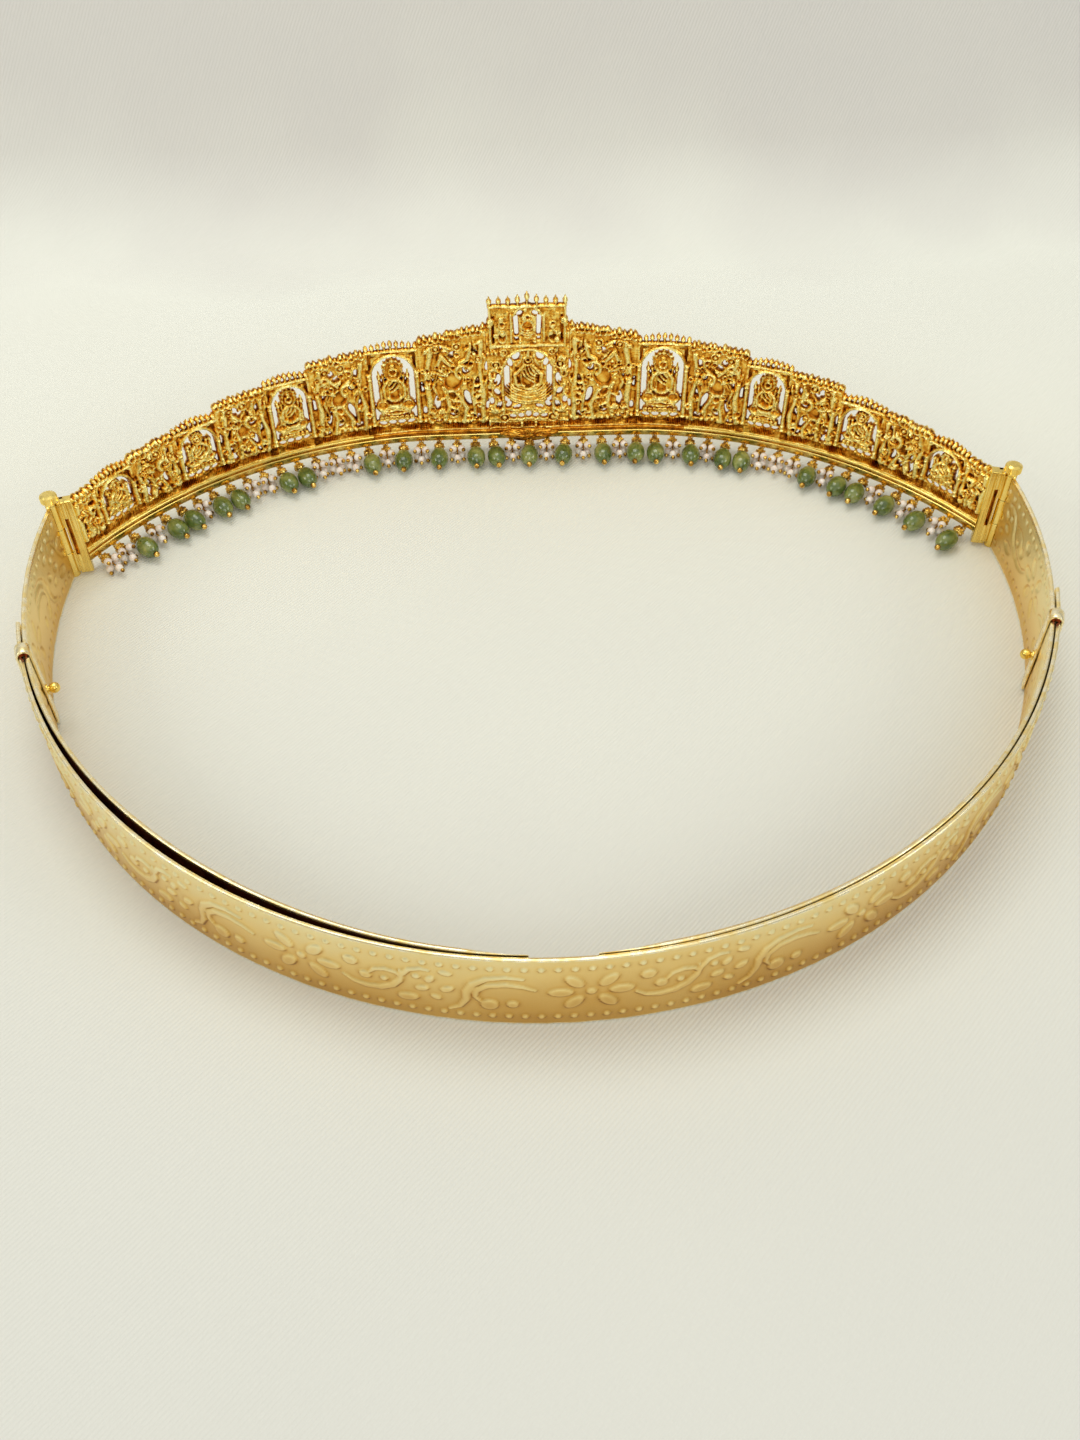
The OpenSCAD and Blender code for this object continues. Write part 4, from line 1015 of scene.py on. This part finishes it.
# The stamped repeat, in millimetres from the middle of its flower and from the strip's foot.
# Buds: x, z, radius
PERIOD = 61.5
BUDS = [(0, 13, 1.15), (11.6, 17.2, 1.7), (14.5, 13.0, 1.45), (40.5, 8.0, 2.0), (45.3, 8.4, 1.35),
        (18.6, 13.0, 0.9), (25.6, 16.0, 0.9)]
# Petals and leaves: x, z, half width, half height, lean in degrees
LEAVES = [(6.3, 13, 2.75, 1.55, 0), (-6.3, 13, 2.75, 1.55, 0), (3.5, 16.9, 2.75, 1.55, 52),
          (-3.5, 16.9, 2.75, 1.55, -52), (3.5, 9.1, 2.75, 1.55, -52), (-3.5, 9.1, 2.75, 1.55, 52),
          (23.4, 7.6, 2.4, 1.5, 10), (28.4, 15.6, 1.5, 1.0, 60), (26.6, 11.8, 1.6, 1.1, 20),
          (31.8, 18.6, 1.5, 0.95, -15), (31.9, 12.6, 1.7, 1.1, 35), (29.4, 9.0, 1.3, 0.9, -30)]
# Scrolls: path and the half width at each of its points
SCROLLS = [([(9.3, 11), (11.5, 9.3), (14.3, 8.7), (17.6, 9.2), (20.3, 11), (22.0, 13.4), (22.6, 15.6),
             (22.2, 17.4)], taper(1.0, 8, 0.35)),
           ([(15.6, 14.2), (16.8, 15.9), (19.0, 16.7), (21.3, 16.2), (22.4, 14.6)], taper(0.75, 5, 0.5)),
           ([(22.9, 16.2), (24.2, 18.2), (26.6, 19.2), (28.4, 18.8)], [0.75, 0.7, 0.6, 0.35]),
           ([(32.0, 5.0), (34.4, 6.6), (35.7, 9.4), (36.0, 12.6), (37.3, 15.6), (40.0, 17.8), (44.0, 18.7),
             (47.6, 18.0)], taper(1.05, 8, 0.35)),
           ([(38.9, 8.6), (37.6, 10.9), (38.0, 13.4), (40.2, 15.3), (44.0, 15.9), (47.4, 15.2),
             (50.0, 13.8)], taper(0.95, 7, 0.4))]
DOT_PITCH = PERIOD / 18
DOT_INSET = 3.4
DOT_R = 0.8
FLOWER_S = 5.7  # from the middle of the back strip to the nearest flower
STAMPED = EMBOSS + 0.1
DENTED = STAMPED * 0.8

FILED = 0.12  # radians over which the hidden end of a side strip is filed thin
FILED_OFF = 0.85  # share of its thickness that is gone at the very end
DRAWN_UP = 0.15  # how far the right side strip is drawn towards the back strip
DRAWN_A = (0.8, 1.1)  # angles between which it leaves its place for that


def raised(d):
    """Profile of stamped work, as a share of its full height, at a distance d inside its outline."""
    flank, dome = np.clip((d + 0.1) / 0.35, 0, 1), np.clip(d / 1.3, 0, 1)
    return 0.7 * flank * flank * (3 - 2 * flank) + 0.3 * np.sqrt(dome * (2 - dome))


def embossing(s, z):
    """Height of the stamped pattern, as a share of full height, at arc lengths s and heights z."""
    field = np.zeros(s.shape)
    near = (s - FLOWER_S + DOT_PITCH / 2) % DOT_PITCH - DOT_PITCH / 2
    for row in (DOT_INSET, BAND_H - DOT_INSET):
        field = np.maximum(field, raised(DOT_R - np.hypot(near, z - row)))
    column = s[:, 0] - FLOWER_S
    for k in range(math.floor(column.min() / PERIOD) - 1, math.ceil(column.max() / PERIOD) + 1):
        middle = FLOWER_S + k * PERIOD
        first, last = np.searchsorted(s[:, 0], [middle - 10, middle + PERIOD])
        if last <= first:
            continue
        x, h, part = s[first:last] - middle, z[first:last], field[first:last]
        shapes = [disc(x, h, *bud) for bud in BUDS] + [oval(x, h, *leaf) for leaf in LEAVES]
        shapes += [stroke(x, h, path, widths) for path, widths in SCROLLS]
        for d in shapes:
            np.maximum(part, raised(d), out=part)
    return field


def spring_out(angle, spring):
    """How far a side strip stands off the back strip, most of all halfway along."""
    way = np.clip((angle - STRIP_END) / (KEEPER_A - STRIP_END), 0, 1)
    return spring * np.sin(math.pi * way) ** 2


def strip(name, angles, r_out, steps, bumps_from, spring=0.0, drawn_up=0.0, mirror=False):
    """An embossed strip: bumps on its outer face, their hollows inside, buffed round edges with a pale
    painted highlight, and painted shade and highlight on the embossing.
    """
    outer, inner = (np.linspace(0.35, BAND_H - 0.35, round(BAND_H / step)) for step in steps)
    edge = np.array([(0.14, 0.08), (0.4, 0.0), (0.66, 0.14)])
    z = np.concatenate([outer, BAND_H - edge[:, 1], inner[::-1], edge[::-1, 1]])
    depth = np.concatenate([outer * 0, edge[:, 0], inner * 0 + 1, edge[::-1, 0]]) * BAND_T
    A, Z = np.meshgrid(angles, z, indexing="ij")
    turn = -1 if mirror else 1
    bump = embossing((A * r_out * turn)[::turn], Z[::turn])[::turn]
    n = len(outer)
    face, back = slice(0, n), slice(n + 3, n + 3 + len(inner))
    # the outer face is plain where another strip lies close to it
    ends = smooth(A, bumps_from, bumps_from + 0.01) * smooth(-A, -angles[-1], -angles[-1] + 0.01)
    free = np.maximum(ends, smooth(spring_out(A, spring), 0.2, 0.6))
    # the end that lies against the back strip is filed thin, and its dents are shallower
    thin = 1 - FILED_OFF * smooth(-A, -angles[0] - FILED, -angles[0]) * (spring > 0)
    outline = np.zeros(A.shape)
    outline[:, face] = (bump * free)[:, face] * STAMPED
    outline[:, back] = (bump * thin)[:, back] * DENTED
    hollow = np.full(A.shape, 0.25)
    window = max(2, round(0.9 / steps[0]))
    for part in (face, back):
        shape = outline[:, part]
        along, up = np.gradient(shape / STAMPED)
        flank = np.clip(np.hypot(along, up) * 1.6 - 0.15, 0, 1)
        # painted light from above: painted shade on every flank, more on the lower ones and in the hollows,
        # and painted highlight on the upper flanks
        painted_flank_light = 0.16 * flank + 0.62 * np.clip(up * 1.8 - 0.1, 0, 1) - 0.26 * np.clip(-up * 1.8 - 0.1, 0, 1)
        hollow[:, part] = np.clip(0.3 + (blurred(shape, window) - shape) * 0.7 + painted_flank_light, 0, 1)
    hollow[:, back] *= 0.7
    drawn = drawn_up * smooth(-A, -DRAWN_A[1], -DRAWN_A[0])
    R = r_out - depth * thin - spring_out(A, spring) + outline + drawn
    index = np.arange(A.size).reshape(A.shape)
    near, far = index[:-1], index[1:]
    quads = np.stack([near, far, np.roll(far, -1, 1), np.roll(near, -1, 1)], -1)
    faces = quads.reshape(-1, 4)[:, ::turn].tolist()
    faces += [index[0][::turn].tolist(), index[-1][::-turn].tolist()]
    # finishes: 0 frosted, 1 buffed rims and ends with a pale painted highlight, 2 painted shade and
    # reflection where the strip is covered
    shade = np.zeros(quads.shape[:2], int)
    shade[:, [0, *range(n - 2, n + 5)]] = 1
    shade[:, n + 1 + len(inner):] = 1
    covered = np.abs(angles[:-1]) < (BACK_END - 0.03 if spring > 1 else 0)
    shade[covered, 1:n - 2] = 2
    return mesh_object(name, on_ring(A * turn, R, Z).reshape(-1, 3), faces, [FROSTED, BUFFED_PAINTED_HIGHLIGHT, PAINTED_GAP_SHADE],
                       np.append(shade, [1, 1]), hollow.ravel(), 50)


def at_ring(angle, along, inwards, z):
    """A point near a strip: along it, inwards from the middle between both strips, and up."""
    r = KEEPER_MID - inwards
    return Vector((r * math.sin(angle) + along * math.cos(angle),
                   RING_Y - r * math.cos(angle) + along * math.sin(angle), z))


KEEPER_SPAN = (BAND_R - SIDE_IN) / 2 + 0.15
KEEPER_WALL = 0.6
KEEPER_L = 3.6
KEEPER_CROWN = 0.12
SCREW_R = 0.8


def keeper(side):
    """A bent sleeve over both strips, with a long leg inside and the screw's threaded collar."""
    angle = KEEPER_A * side
    middle = KEEPER_SPAN + KEEPER_WALL / 2
    path = [(middle, 0.6 + k * (BAND_H - 0.8) / 8) for k in range(9)]
    path += [(middle * math.cos(math.radians(a)), BAND_H - 0.2 + middle * math.sin(math.radians(a)))
             for a in range(15, 180, 15)]
    path += [(-middle, BAND_H - 0.2 - k * (BAND_H - 2.2) / 8) for k in range(9)]
    rings = []
    for i, (y, z) in enumerate(path):
        ahead, behind = path[min(i + 1, len(path) - 1)], path[max(i - 1, 0)]
        dy, dz = ahead[0] - behind[0], ahead[1] - behind[1]
        out_y, out_z = dz / math.hypot(dy, dz), -dy / math.hypot(dy, dz)
        ring = []
        for u, v in rounded(KEEPER_L, KEEPER_WALL, 0.22):
            crowned = v + (KEEPER_CROWN * (1 - (2 * u / KEEPER_L) ** 2) if v > 0 else 0)
            ring.append(at_ring(angle, u, y + out_y * crowned, z + out_z * crowned))
        rings.append(ring)
    sleeve = skin("keeper_sleeve", rings, BUFFED_PAINTED_HIGHLIGHT)
    base = at_ring(angle, 0, KEEPER_SPAN + KEEPER_WALL - 0.05, BAND_H * 0.45)
    axis = at_ring(angle, 0, 1, 0) - at_ring(angle, 0, 0, 0)
    bore, rim = SCREW_R + 0.06, SCREW_R + 0.6
    profile = [(bore, 0), (rim, 0), (rim, 0.3), (rim - 0.1, 0.44), (bore, 0.44)]
    collar = lathe("keeper_collar", profile, base, axis, POLISHED)
    # a dark sheet under the sleeve's bend, as painted shade inside it
    bend = [(1.26 * math.cos(math.radians(a)), BAND_H + 0.03 + math.sin(math.radians(a)))
            for a in range(0, 181, 20)]
    shade_plug = skin("keeper_hollow", [[at_ring(angle, u, y, z) for y, z in bend] for u in (-1.5, 1.5)], PAINTED_GAP_SHADE)
    return [sleeve, collar, shade_plug]


# Hinges, rail and boss

HINGE = Vector((HINGE_X, RING_Y + HINGE_Y, 0))
PIN_BORE = 0.86
KNUCKLE_GAP = 0.1
KNUCKLE_H = (BAND_H - 2 * KNUCKLE_GAP) / 3


def knuckle(name, z0):
    """One barrel of the hinge, with broken edges."""
    c = 0.18
    profile = [(PIN_BORE, 0.0), (BARREL_R - c, 0.0), (BARREL_R, c), (BARREL_R, KNUCKLE_H * 0.5),
               (BARREL_R, KNUCKLE_H - c), (BARREL_R - c, KNUCKLE_H), (PIN_BORE, KNUCKLE_H)]
    return lathe(name, profile, (HINGE.x, HINGE.y, z0), (0, 0, 1), POLISHED, 32)


def block(name, along, across, upright, frame_at, finish=POLISHED, bevel=0.2, hollow=0.3):
    """A block with rounded edges, from its three extents in a local frame."""
    (a0, a1), (b0, b1), (z0, z1) = along, across, upright
    rings = []
    for z, inset in ((z0, bevel), (z0 + bevel * 0.3, bevel * 0.3), (z0 + bevel, 0), (z1 - bevel, 0),
                     (z1 - bevel * 0.3, bevel * 0.3), (z1, bevel)):
        outline = rounded(a1 - a0 - 2 * inset, b1 - b0 - 2 * inset, bevel)
        rings.append([frame_at((a0 + a1) / 2 + u, (b0 + b1) / 2 + v, z) for u, v in outline])
    return skin(name, rings, finish, hollow=hollow)


def panel_end():
    """The end plate, the slotted box behind it, and the panel's two knuckles."""
    start = Vector(on_panel(PANEL_HALF, 0.0, 0.0))
    length = (HINGE - start).length
    ahead = (HINGE - start).normalized()
    front = Vector((-ahead.y, ahead.x, 0))

    def at(u, v, z):
        p = start + ahead * u + front * v
        return Vector((p.x, p.y, z))

    foot, head = 1.0, 1.0 + BAND_H
    end = length - BARREL_R - LEAF_GAP
    slot_z0, slot_z1 = foot + BAND_H * 0.27, foot + BAND_H * 0.77
    half = BOX_T / 2
    slot_a, slot_b = end * 0.50, end * 0.80
    slot = (slot_a - 0.2, slot_b + 0.2)
    shell = (-half + 0.05, half - 0.1)
    # the slot's back and walls take a dark tint from their hollow value, as painted shade inside the slot
    parts = [block("plate_inner", (-0.9, slot_a), (-half, half), (foot, head), at, bevel=0.28),
             block("plate_outer", (slot_b, end), (-half, half), (foot, head), at, bevel=0.28),
             block("plate_front", slot, (half * 0.24, half - 0.08), (foot + 0.1, head - 0.1), at, CAST,
                   bevel=0.1, hollow=0.75),
             block("plate_foot", slot, shell, (foot + 0.1, slot_z0), at),
             block("plate_head", slot, shell, (slot_z1, head - 0.1), at)]
    for u in (slot_a, slot_b):
        parts.append(block("slot_wall", (u - 0.07, u + 0.07), (-half + 0.12, half - 0.12),
                           (slot_z0, slot_z1), at, CAST, bevel=0.05, hollow=0.7))
    # ribs beside the slot
    for u in (-0.75, 0.1, slot_a - 0.5, slot_b + 0.05):
        parts.append(block("plate_rib", (u, u + 0.4), (-half - 0.16, -half + 0.2),
                           (foot + 0.5, head - 0.5), at, bevel=0.15))
    for z in (0, 2 * (KNUCKLE_H + KNUCKLE_GAP)):
        parts.append(block("plate_leaf", (end - 0.5, length - PIN_BORE - 0.2), (-half * 0.55, half * 0.55),
                           (max(z, foot) + 0.3, z + KNUCKLE_H - 0.3), at, bevel=0.12))
        parts.append(knuckle("panel_knuckle", z))
    return parts


# The rail's band, groove and bead: height of its middle, width, height, bevel
RAIL_PARTS = [(RAIL_H * 0.30, RAIL_T, RAIL_H * 0.58, 0.35),
              (RAIL_H * 0.50, RAIL_T * 0.78, RAIL_H * 0.9, 0.2),
              (RAIL_H * 0.84, RAIL_T * 0.94, RAIL_H * 0.30, 0.5)]


def rail(s0, s1, shift, bead=CAST):
    """One length of the moulded rail: a bright flat band, a dull groove and a bead."""
    parts = []
    s = np.linspace(s0, s1, max(2, round((s1 - s0) / 1.6)) + 1)
    for (z, wide, high, bevel), finish in zip(RAIL_PARTS, (POLISHED, CAST, bead)):
        outline = rounded(wide, high, bevel, 3)
        rings = [on_panel(v, outline[:, 0] + shift, RAIL_Z + z + outline[:, 1]) for v in s]
        parts.append(skin("rail_length", rings, finish, hollow=0.74))
    return parts


# The boss's bulge from its rim to its middle: share of its outline, share of its thickness
BULGE = [(1.0, 0.0), (0.985, 0.4), (0.95, 0.64), (0.9, 0.8), (0.8, 0.9), (0.7, 0.96), (0.6, 1.0), (0.5, 0.98),
         (0.4, 0.94), (0.3, 0.91), (0.2, 0.89), (0.1, 0.88)]
BOSS_SIDES = 72


def boss():
    """The bulge over the middle of the rail: a lens that hangs lower on the front than inside."""
    w = TOWER_W * 0.767
    parts = []
    for name, face, thick, top, bottom in (("boss_front", 1, 1.4, RAIL_H + 1.2, -2.6),
                                           ("boss_inner", -1, 0.9, RAIL_H + 0.4, 0.5)):
        dents = np.random.default_rng(6)
        rings = []
        for share, rise in BULGE:
            ring = []
            for k in range(BOSS_SIDES):
                a = 2 * math.pi * k / BOSS_SIDES
                z = RAIL_Z + (top + bottom) / 2 + (top - bottom) / 2 * share * math.sin(a)
                lump = dents.uniform(-0.16, 0.16) * min(1.0, (1 - share) * 12)
                out = face * (RAIL_T / 2 - 0.1 + thick * rise + lump)
                ring.append(on_panel(w * share * math.cos(a), out, z))
            rings.append(ring)
        parts.append(skin(name, rings, CAST, hollow=dents.uniform(0.3, 1.0, len(BULGE) * BOSS_SIDES)))
    return parts


# Fringe

# The green beads: slot and lean in degrees. Pearls hang in the other slots
JADES = [(2, -4), (4, 0), (5, 5), (7, -3), (8, 2), (11, 2), (12, 7), (16, 3), (18, -4), (20, 0),
         (22, 2), (23, 8), (25, -2), (27, -8), (29, 1), (31, -5), (32, 3), (34, 6), (36, 1), (37, 6),
         (41, 3), (43, -4), (44, 1), (46, -4), (48, -4), (50, 5)]
SLOTS = 51
FRINGE_END = 4.0  # from the last drop to the end of the panel
DROP_PITCH = (PANEL_HALF - FRINGE_END) * 2 / (SLOTS - 1)
BALL_R = 1.5
BALL_Z = 3.05
DROP_REACH = 2.7
EYELET_R = 0.665
EYELET_WIRE = 0.19
EYELET_FLAT = 0.28
EYELET_Z = RAIL_Z - 0.595
# The grains on a ball: latitude towards the pin in degrees, count and size
GRAIN_ROWS = [(-55, 5, 0.8), (-25, 8, 1.0), (5, 9, 1.0), (35, 7, 1.0), (60, 5, 0.8)]
GRAIN_R = 0.36


def slot_lean(slot):
    """A drop leans as the nearest green beads on both sides of it do."""
    return float(np.interp(slot, [j[0] for j in JADES], [j[1] for j in JADES]))


def slot_place(slot):
    """The length along the panel of a drop, and its heading."""
    s = (slot - (SLOTS - 1) / 2) * DROP_PITCH
    return s, -float(np.sign(s) * panel_turn(s))


def eyelets():
    """A flat ring under the rail for every drop."""
    places = [slot_place(k) for k in range(SLOTS)]
    points = [on_panel(s, 0.0, EYELET_Z) for s, _ in places]
    turns = [(0, 0, turn) for _, turn in places]
    unit = ring_unit(EYELET_R, EYELET_WIRE, EYELET_FLAT)
    return repeated("eyelets", unit, points, turns, np.ones(SLOTS), 1.0, POLISHED)


def granules():
    """Gold grains soldered over every ball, in rows round its pin."""
    points, grows = [], []
    for slot in range(SLOTS):
        s, heading = slot_place(slot)
        lean = math.radians(slot_lean(slot))
        centre = (Vector(on_panel(s, 0.0, BALL_Z))
                  + Matrix.Rotation(heading + lean / 3, 3, "Z") @ Vector((0, -DROP_REACH, 0)))
        pin = Matrix.Rotation(heading + lean, 3, "Z") @ Vector((0, -1, 0))
        side = pin.cross(Vector((0, 0, 1))).normalized()
        up = side.cross(pin)
        for row, count, size in GRAIN_ROWS:
            for k in range(count):
                a, lift = 2 * math.pi * (k + (row % 2) * 0.5) / count, math.radians(row)
                way = pin * math.sin(lift) + (side * math.cos(a) + up * math.sin(a)) * math.cos(lift)
                points.append(centre + way * (BALL_R - 0.06))
                grows.append(size)
    turns = np.zeros((len(points), 3))
    return repeated("ball_granules", grain_unit(), points, turns, grows, GRAIN_R, ANTIQUE)


# Building

wing_right, wing_left, tower_casting = wing(False), wing(True), centre_tower()

# lengths of the rail, soldered end to end with a slight step from one to the next
RAIL_BREAKS = [WING_START, 32.57, 48.52, 79.48, 108.98, PANEL_HALF]
rail_parts = []
for place, (s0, s1) in enumerate(zip(RAIL_BREAKS, RAIL_BREAKS[1:])):
    rail_parts += rail(s0 - 0.03, s1 - 0.05, 0.06 if place % 2 else -0.02, POLISHED if place > 1 else CAST)
rail_right = joined("rail_right", rail_parts)
rail_left = mirrored(rail_right, "rail_left")
box_right = joined("hinge_box_right", panel_end())
box_left = mirrored(box_right, "hinge_box_left")
rail_centre = joined("rail_centre", rail(-TOWER_W - LAP, TOWER_W + LAP, 0.0) + boss())

# grid steps of the strips' outer and inner faces, up them and then along them
BACK_STEPS, SIDE_STEPS = (0.33, 1.8), (0.6, 0.46)
BACK_ALONG, COVERED_ALONG, SHOWN_ALONG = 0.35 / BAND_R, 0.62 / SIDE_OUT, 0.42 / SIDE_OUT

back_angles = np.arange(-BACK_END, BACK_END + BACK_ALONG / 2, BACK_ALONG)
back_strip = strip("embossed_back_strip", back_angles, BAND_R, BACK_STEPS, bumps_from=-math.pi)
keepers = joined("keepers", keeper(1) + keeper(-1))

leaf_a = HINGE_A - (BARREL_R + LEAF_GAP) / HINGE_R
shown_a = BACK_END - 0.04
side_angles = np.concatenate([np.arange(STRIP_END, shown_a, COVERED_ALONG),
                              np.arange(shown_a, leaf_a, SHOWN_ALONG), [leaf_a]])
side_right = strip("embossed_side_strip_right", side_angles, SIDE_OUT, SIDE_STEPS, BACK_END + 0.01,
                   SPRING_RIGHT, DRAWN_UP)
side_left = strip("embossed_side_strip_left", side_angles, SIDE_OUT, SIDE_STEPS, BACK_END + 0.01,
                  SPRING_LEFT, mirror=True)


def at_hinge(u, v, z):
    """A point in a strip's own frame at the hinge: along the strip, across it, and up."""
    return HINGE + Vector((u * math.cos(HINGE_A) - v * math.sin(HINGE_A),
                           u * math.sin(HINGE_A) + v * math.cos(HINGE_A), z))


mid_z = KNUCKLE_H + KNUCKLE_GAP
leaf = block("strip_leaf", (-BARREL_R - LEAF_GAP - 1, -PIN_BORE - 0.2), (-0.4, 0.4),
             (mid_z + 0.3, mid_z + KNUCKLE_H - 0.3), at_hinge, bevel=0.12)
knuckle_right = joined("strip_knuckle_right", [leaf, knuckle("strip_knuckle", mid_z)])
knuckle_left = mirrored(knuckle_right, "strip_knuckle_left")
eyelet_row, grains = eyelets(), granules()

stand_ins = {wing_right: "panel_right", wing_left: "panel_left", tower_casting: "centre_piece",
             back_strip: "back_strip", side_right: "side_strip_right", side_left: "side_strip_left"}
slots = {"matte_gold": [wing_right, wing_left, tower_casting, rail_right, rail_left, box_right, box_left,
                        rail_centre, eyelet_row],
         "strip_gold": [back_strip, side_right, side_left, keepers, knuckle_right, knuckle_left],
         "antique_gold": [grains]}
for slot, pieces in slots.items():
    for piece in pieces:
        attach(piece, "belt")
        if piece in stand_ins:
            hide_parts(stand_ins[piece])

for name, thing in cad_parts.items():
    finish = (GREEN if name.startswith("jade_bead") else PEARL if name == "pearls"
              else ANTIQUE if name in ("jade_pins", "pearl_sprays") else POLISHED)
    thing.data.materials.clear()
    thing.data.materials.append(finish)


# Stage: satin that lies flat and rises behind the belt

def cloth(name, profile, half_width, finish):
    """A wide sheet through a profile of (y, z)."""
    x = np.linspace(-half_width, half_width, 41)
    y, z = np.array(profile).T
    X, Y = np.meshgrid(x, y, indexing="ij")
    Z = np.broadcast_to(z, X.shape)
    index = np.arange(X.size).reshape(X.shape)
    faces = np.stack([index[:-1, :-1], index[1:, :-1], index[1:, 1:], index[:-1, 1:]], -1).reshape(-1, 4)
    made = mesh_object(name, np.stack([X, Y, Z], -1).reshape(-1, 3), faces.tolist(), [finish], sharp_deg=180)


BEND_Y, BEND_R, WALL_DEG = 200, 60, 62
CLOTH_HALF = 1500
flat = [(y, 0.0) for y in np.linspace(-CLOTH_HALF, BEND_Y - 20, 36)]
bend = [(BEND_Y + BEND_R * math.sin(math.radians(a)), BEND_R * (1 - math.cos(math.radians(a))))
        for a in range(0, WALL_DEG, 4)]
wall_y, wall_z = math.cos(math.radians(WALL_DEG)), math.sin(math.radians(WALL_DEG))
rise = [(bend[-1][0] + t * wall_y, bend[-1][1] + t * wall_z) for t in np.linspace(20, 1200, 20)]
cloth("satin_sheet", flat + bend + rise, CLOTH_HALF, SATIN)

# Camera and light

FOCAL_PX = 1300.2
FRAME_H = 1440
SENSOR_MM = 36.0
PITCH, YAW, ROLL = math.radians(47.767), math.radians(1.887), -0.0109
EYE = Vector((-8.75, RING_Y - 271.235, 246.36)) * MM
forward = Vector((math.sin(YAW) * math.cos(PITCH), math.cos(YAW) * math.cos(PITCH), -math.sin(PITCH)))
right = Vector((math.cos(YAW), -math.sin(YAW), 0))
up = right.cross(forward)
right, up = (math.cos(ROLL) * right + math.sin(ROLL) * up, -math.sin(ROLL) * right + math.cos(ROLL) * up)
camera_data = bpy.data.cameras.new("view_from_behind")
camera_data.sensor_fit = "VERTICAL"
camera_data.sensor_height = SENSOR_MM
camera_data.lens = FOCAL_PX / FRAME_H * SENSOR_MM
camera = bpy.data.objects.new("view_from_behind", camera_data)
camera.matrix_world = Matrix.Translation(EYE) @ Matrix((right, up, -forward)).transposed().to_4x4()
bpy.context.scene.collection.objects.link(camera)
bpy.context.scene.camera = camera


def softbox(name, place_mm, target_mm, size_mm, watts, tint):
    """A square area light that faces a target."""
    data = bpy.data.lights.new(name, "AREA")
    data.size = size_mm * MM
    data.energy = watts
    data.color = colour(tint)[:3]
    lamp = bpy.data.objects.new(name, data)
    lamp.location = Vector(place_mm) * MM
    lamp.rotation_euler = (Vector(target_mm) - Vector(place_mm)).to_track_quat("-Z", "Y").to_euler()
    bpy.context.scene.collection.objects.link(lamp)


softbox("overhead_window", (-120, 220, 900), (0, 60, 0), 500, 2.6, "#FCFCF2")
softbox("left_window", (-800, -250, 550), (0, 0, 0), 350, 1.3, "#FBFCF2")
softbox("right_window", (800, -300, 450), (0, 0, 0), 300, 1.1, "#FBFCF2")
softbox("near_window", (60, -700, 420), (0, 80, 20), 420, 1.3, "#FBFCF2")

# The room: bright over the belt and dimmer towards the horizon
world = bpy.data.worlds.new("studio")
bpy.context.scene.world = world
world.use_nodes = True
room = world.node_tree
room.nodes.clear()
way = node(room, "ShaderNodeTexCoord").outputs["Generated"]
height = node(room, SPLIT, {0: way}).outputs["Z"]
wall = node(room, RAMP, {0: height},
            [(0.0, "#5E5D59"), (0.12, "#8A8982"), (0.5, "#DCDCD4"), (0.85, "#FAFBF4"), (1.0, "#FFFFFA")])
sky = node(room, "ShaderNodeBackground", {"Color": wall, "Strength": 0.8})
node(room, "ShaderNodeOutputWorld", {"Surface": sky})
bpy.context.scene.view_settings.view_transform = "Standard"
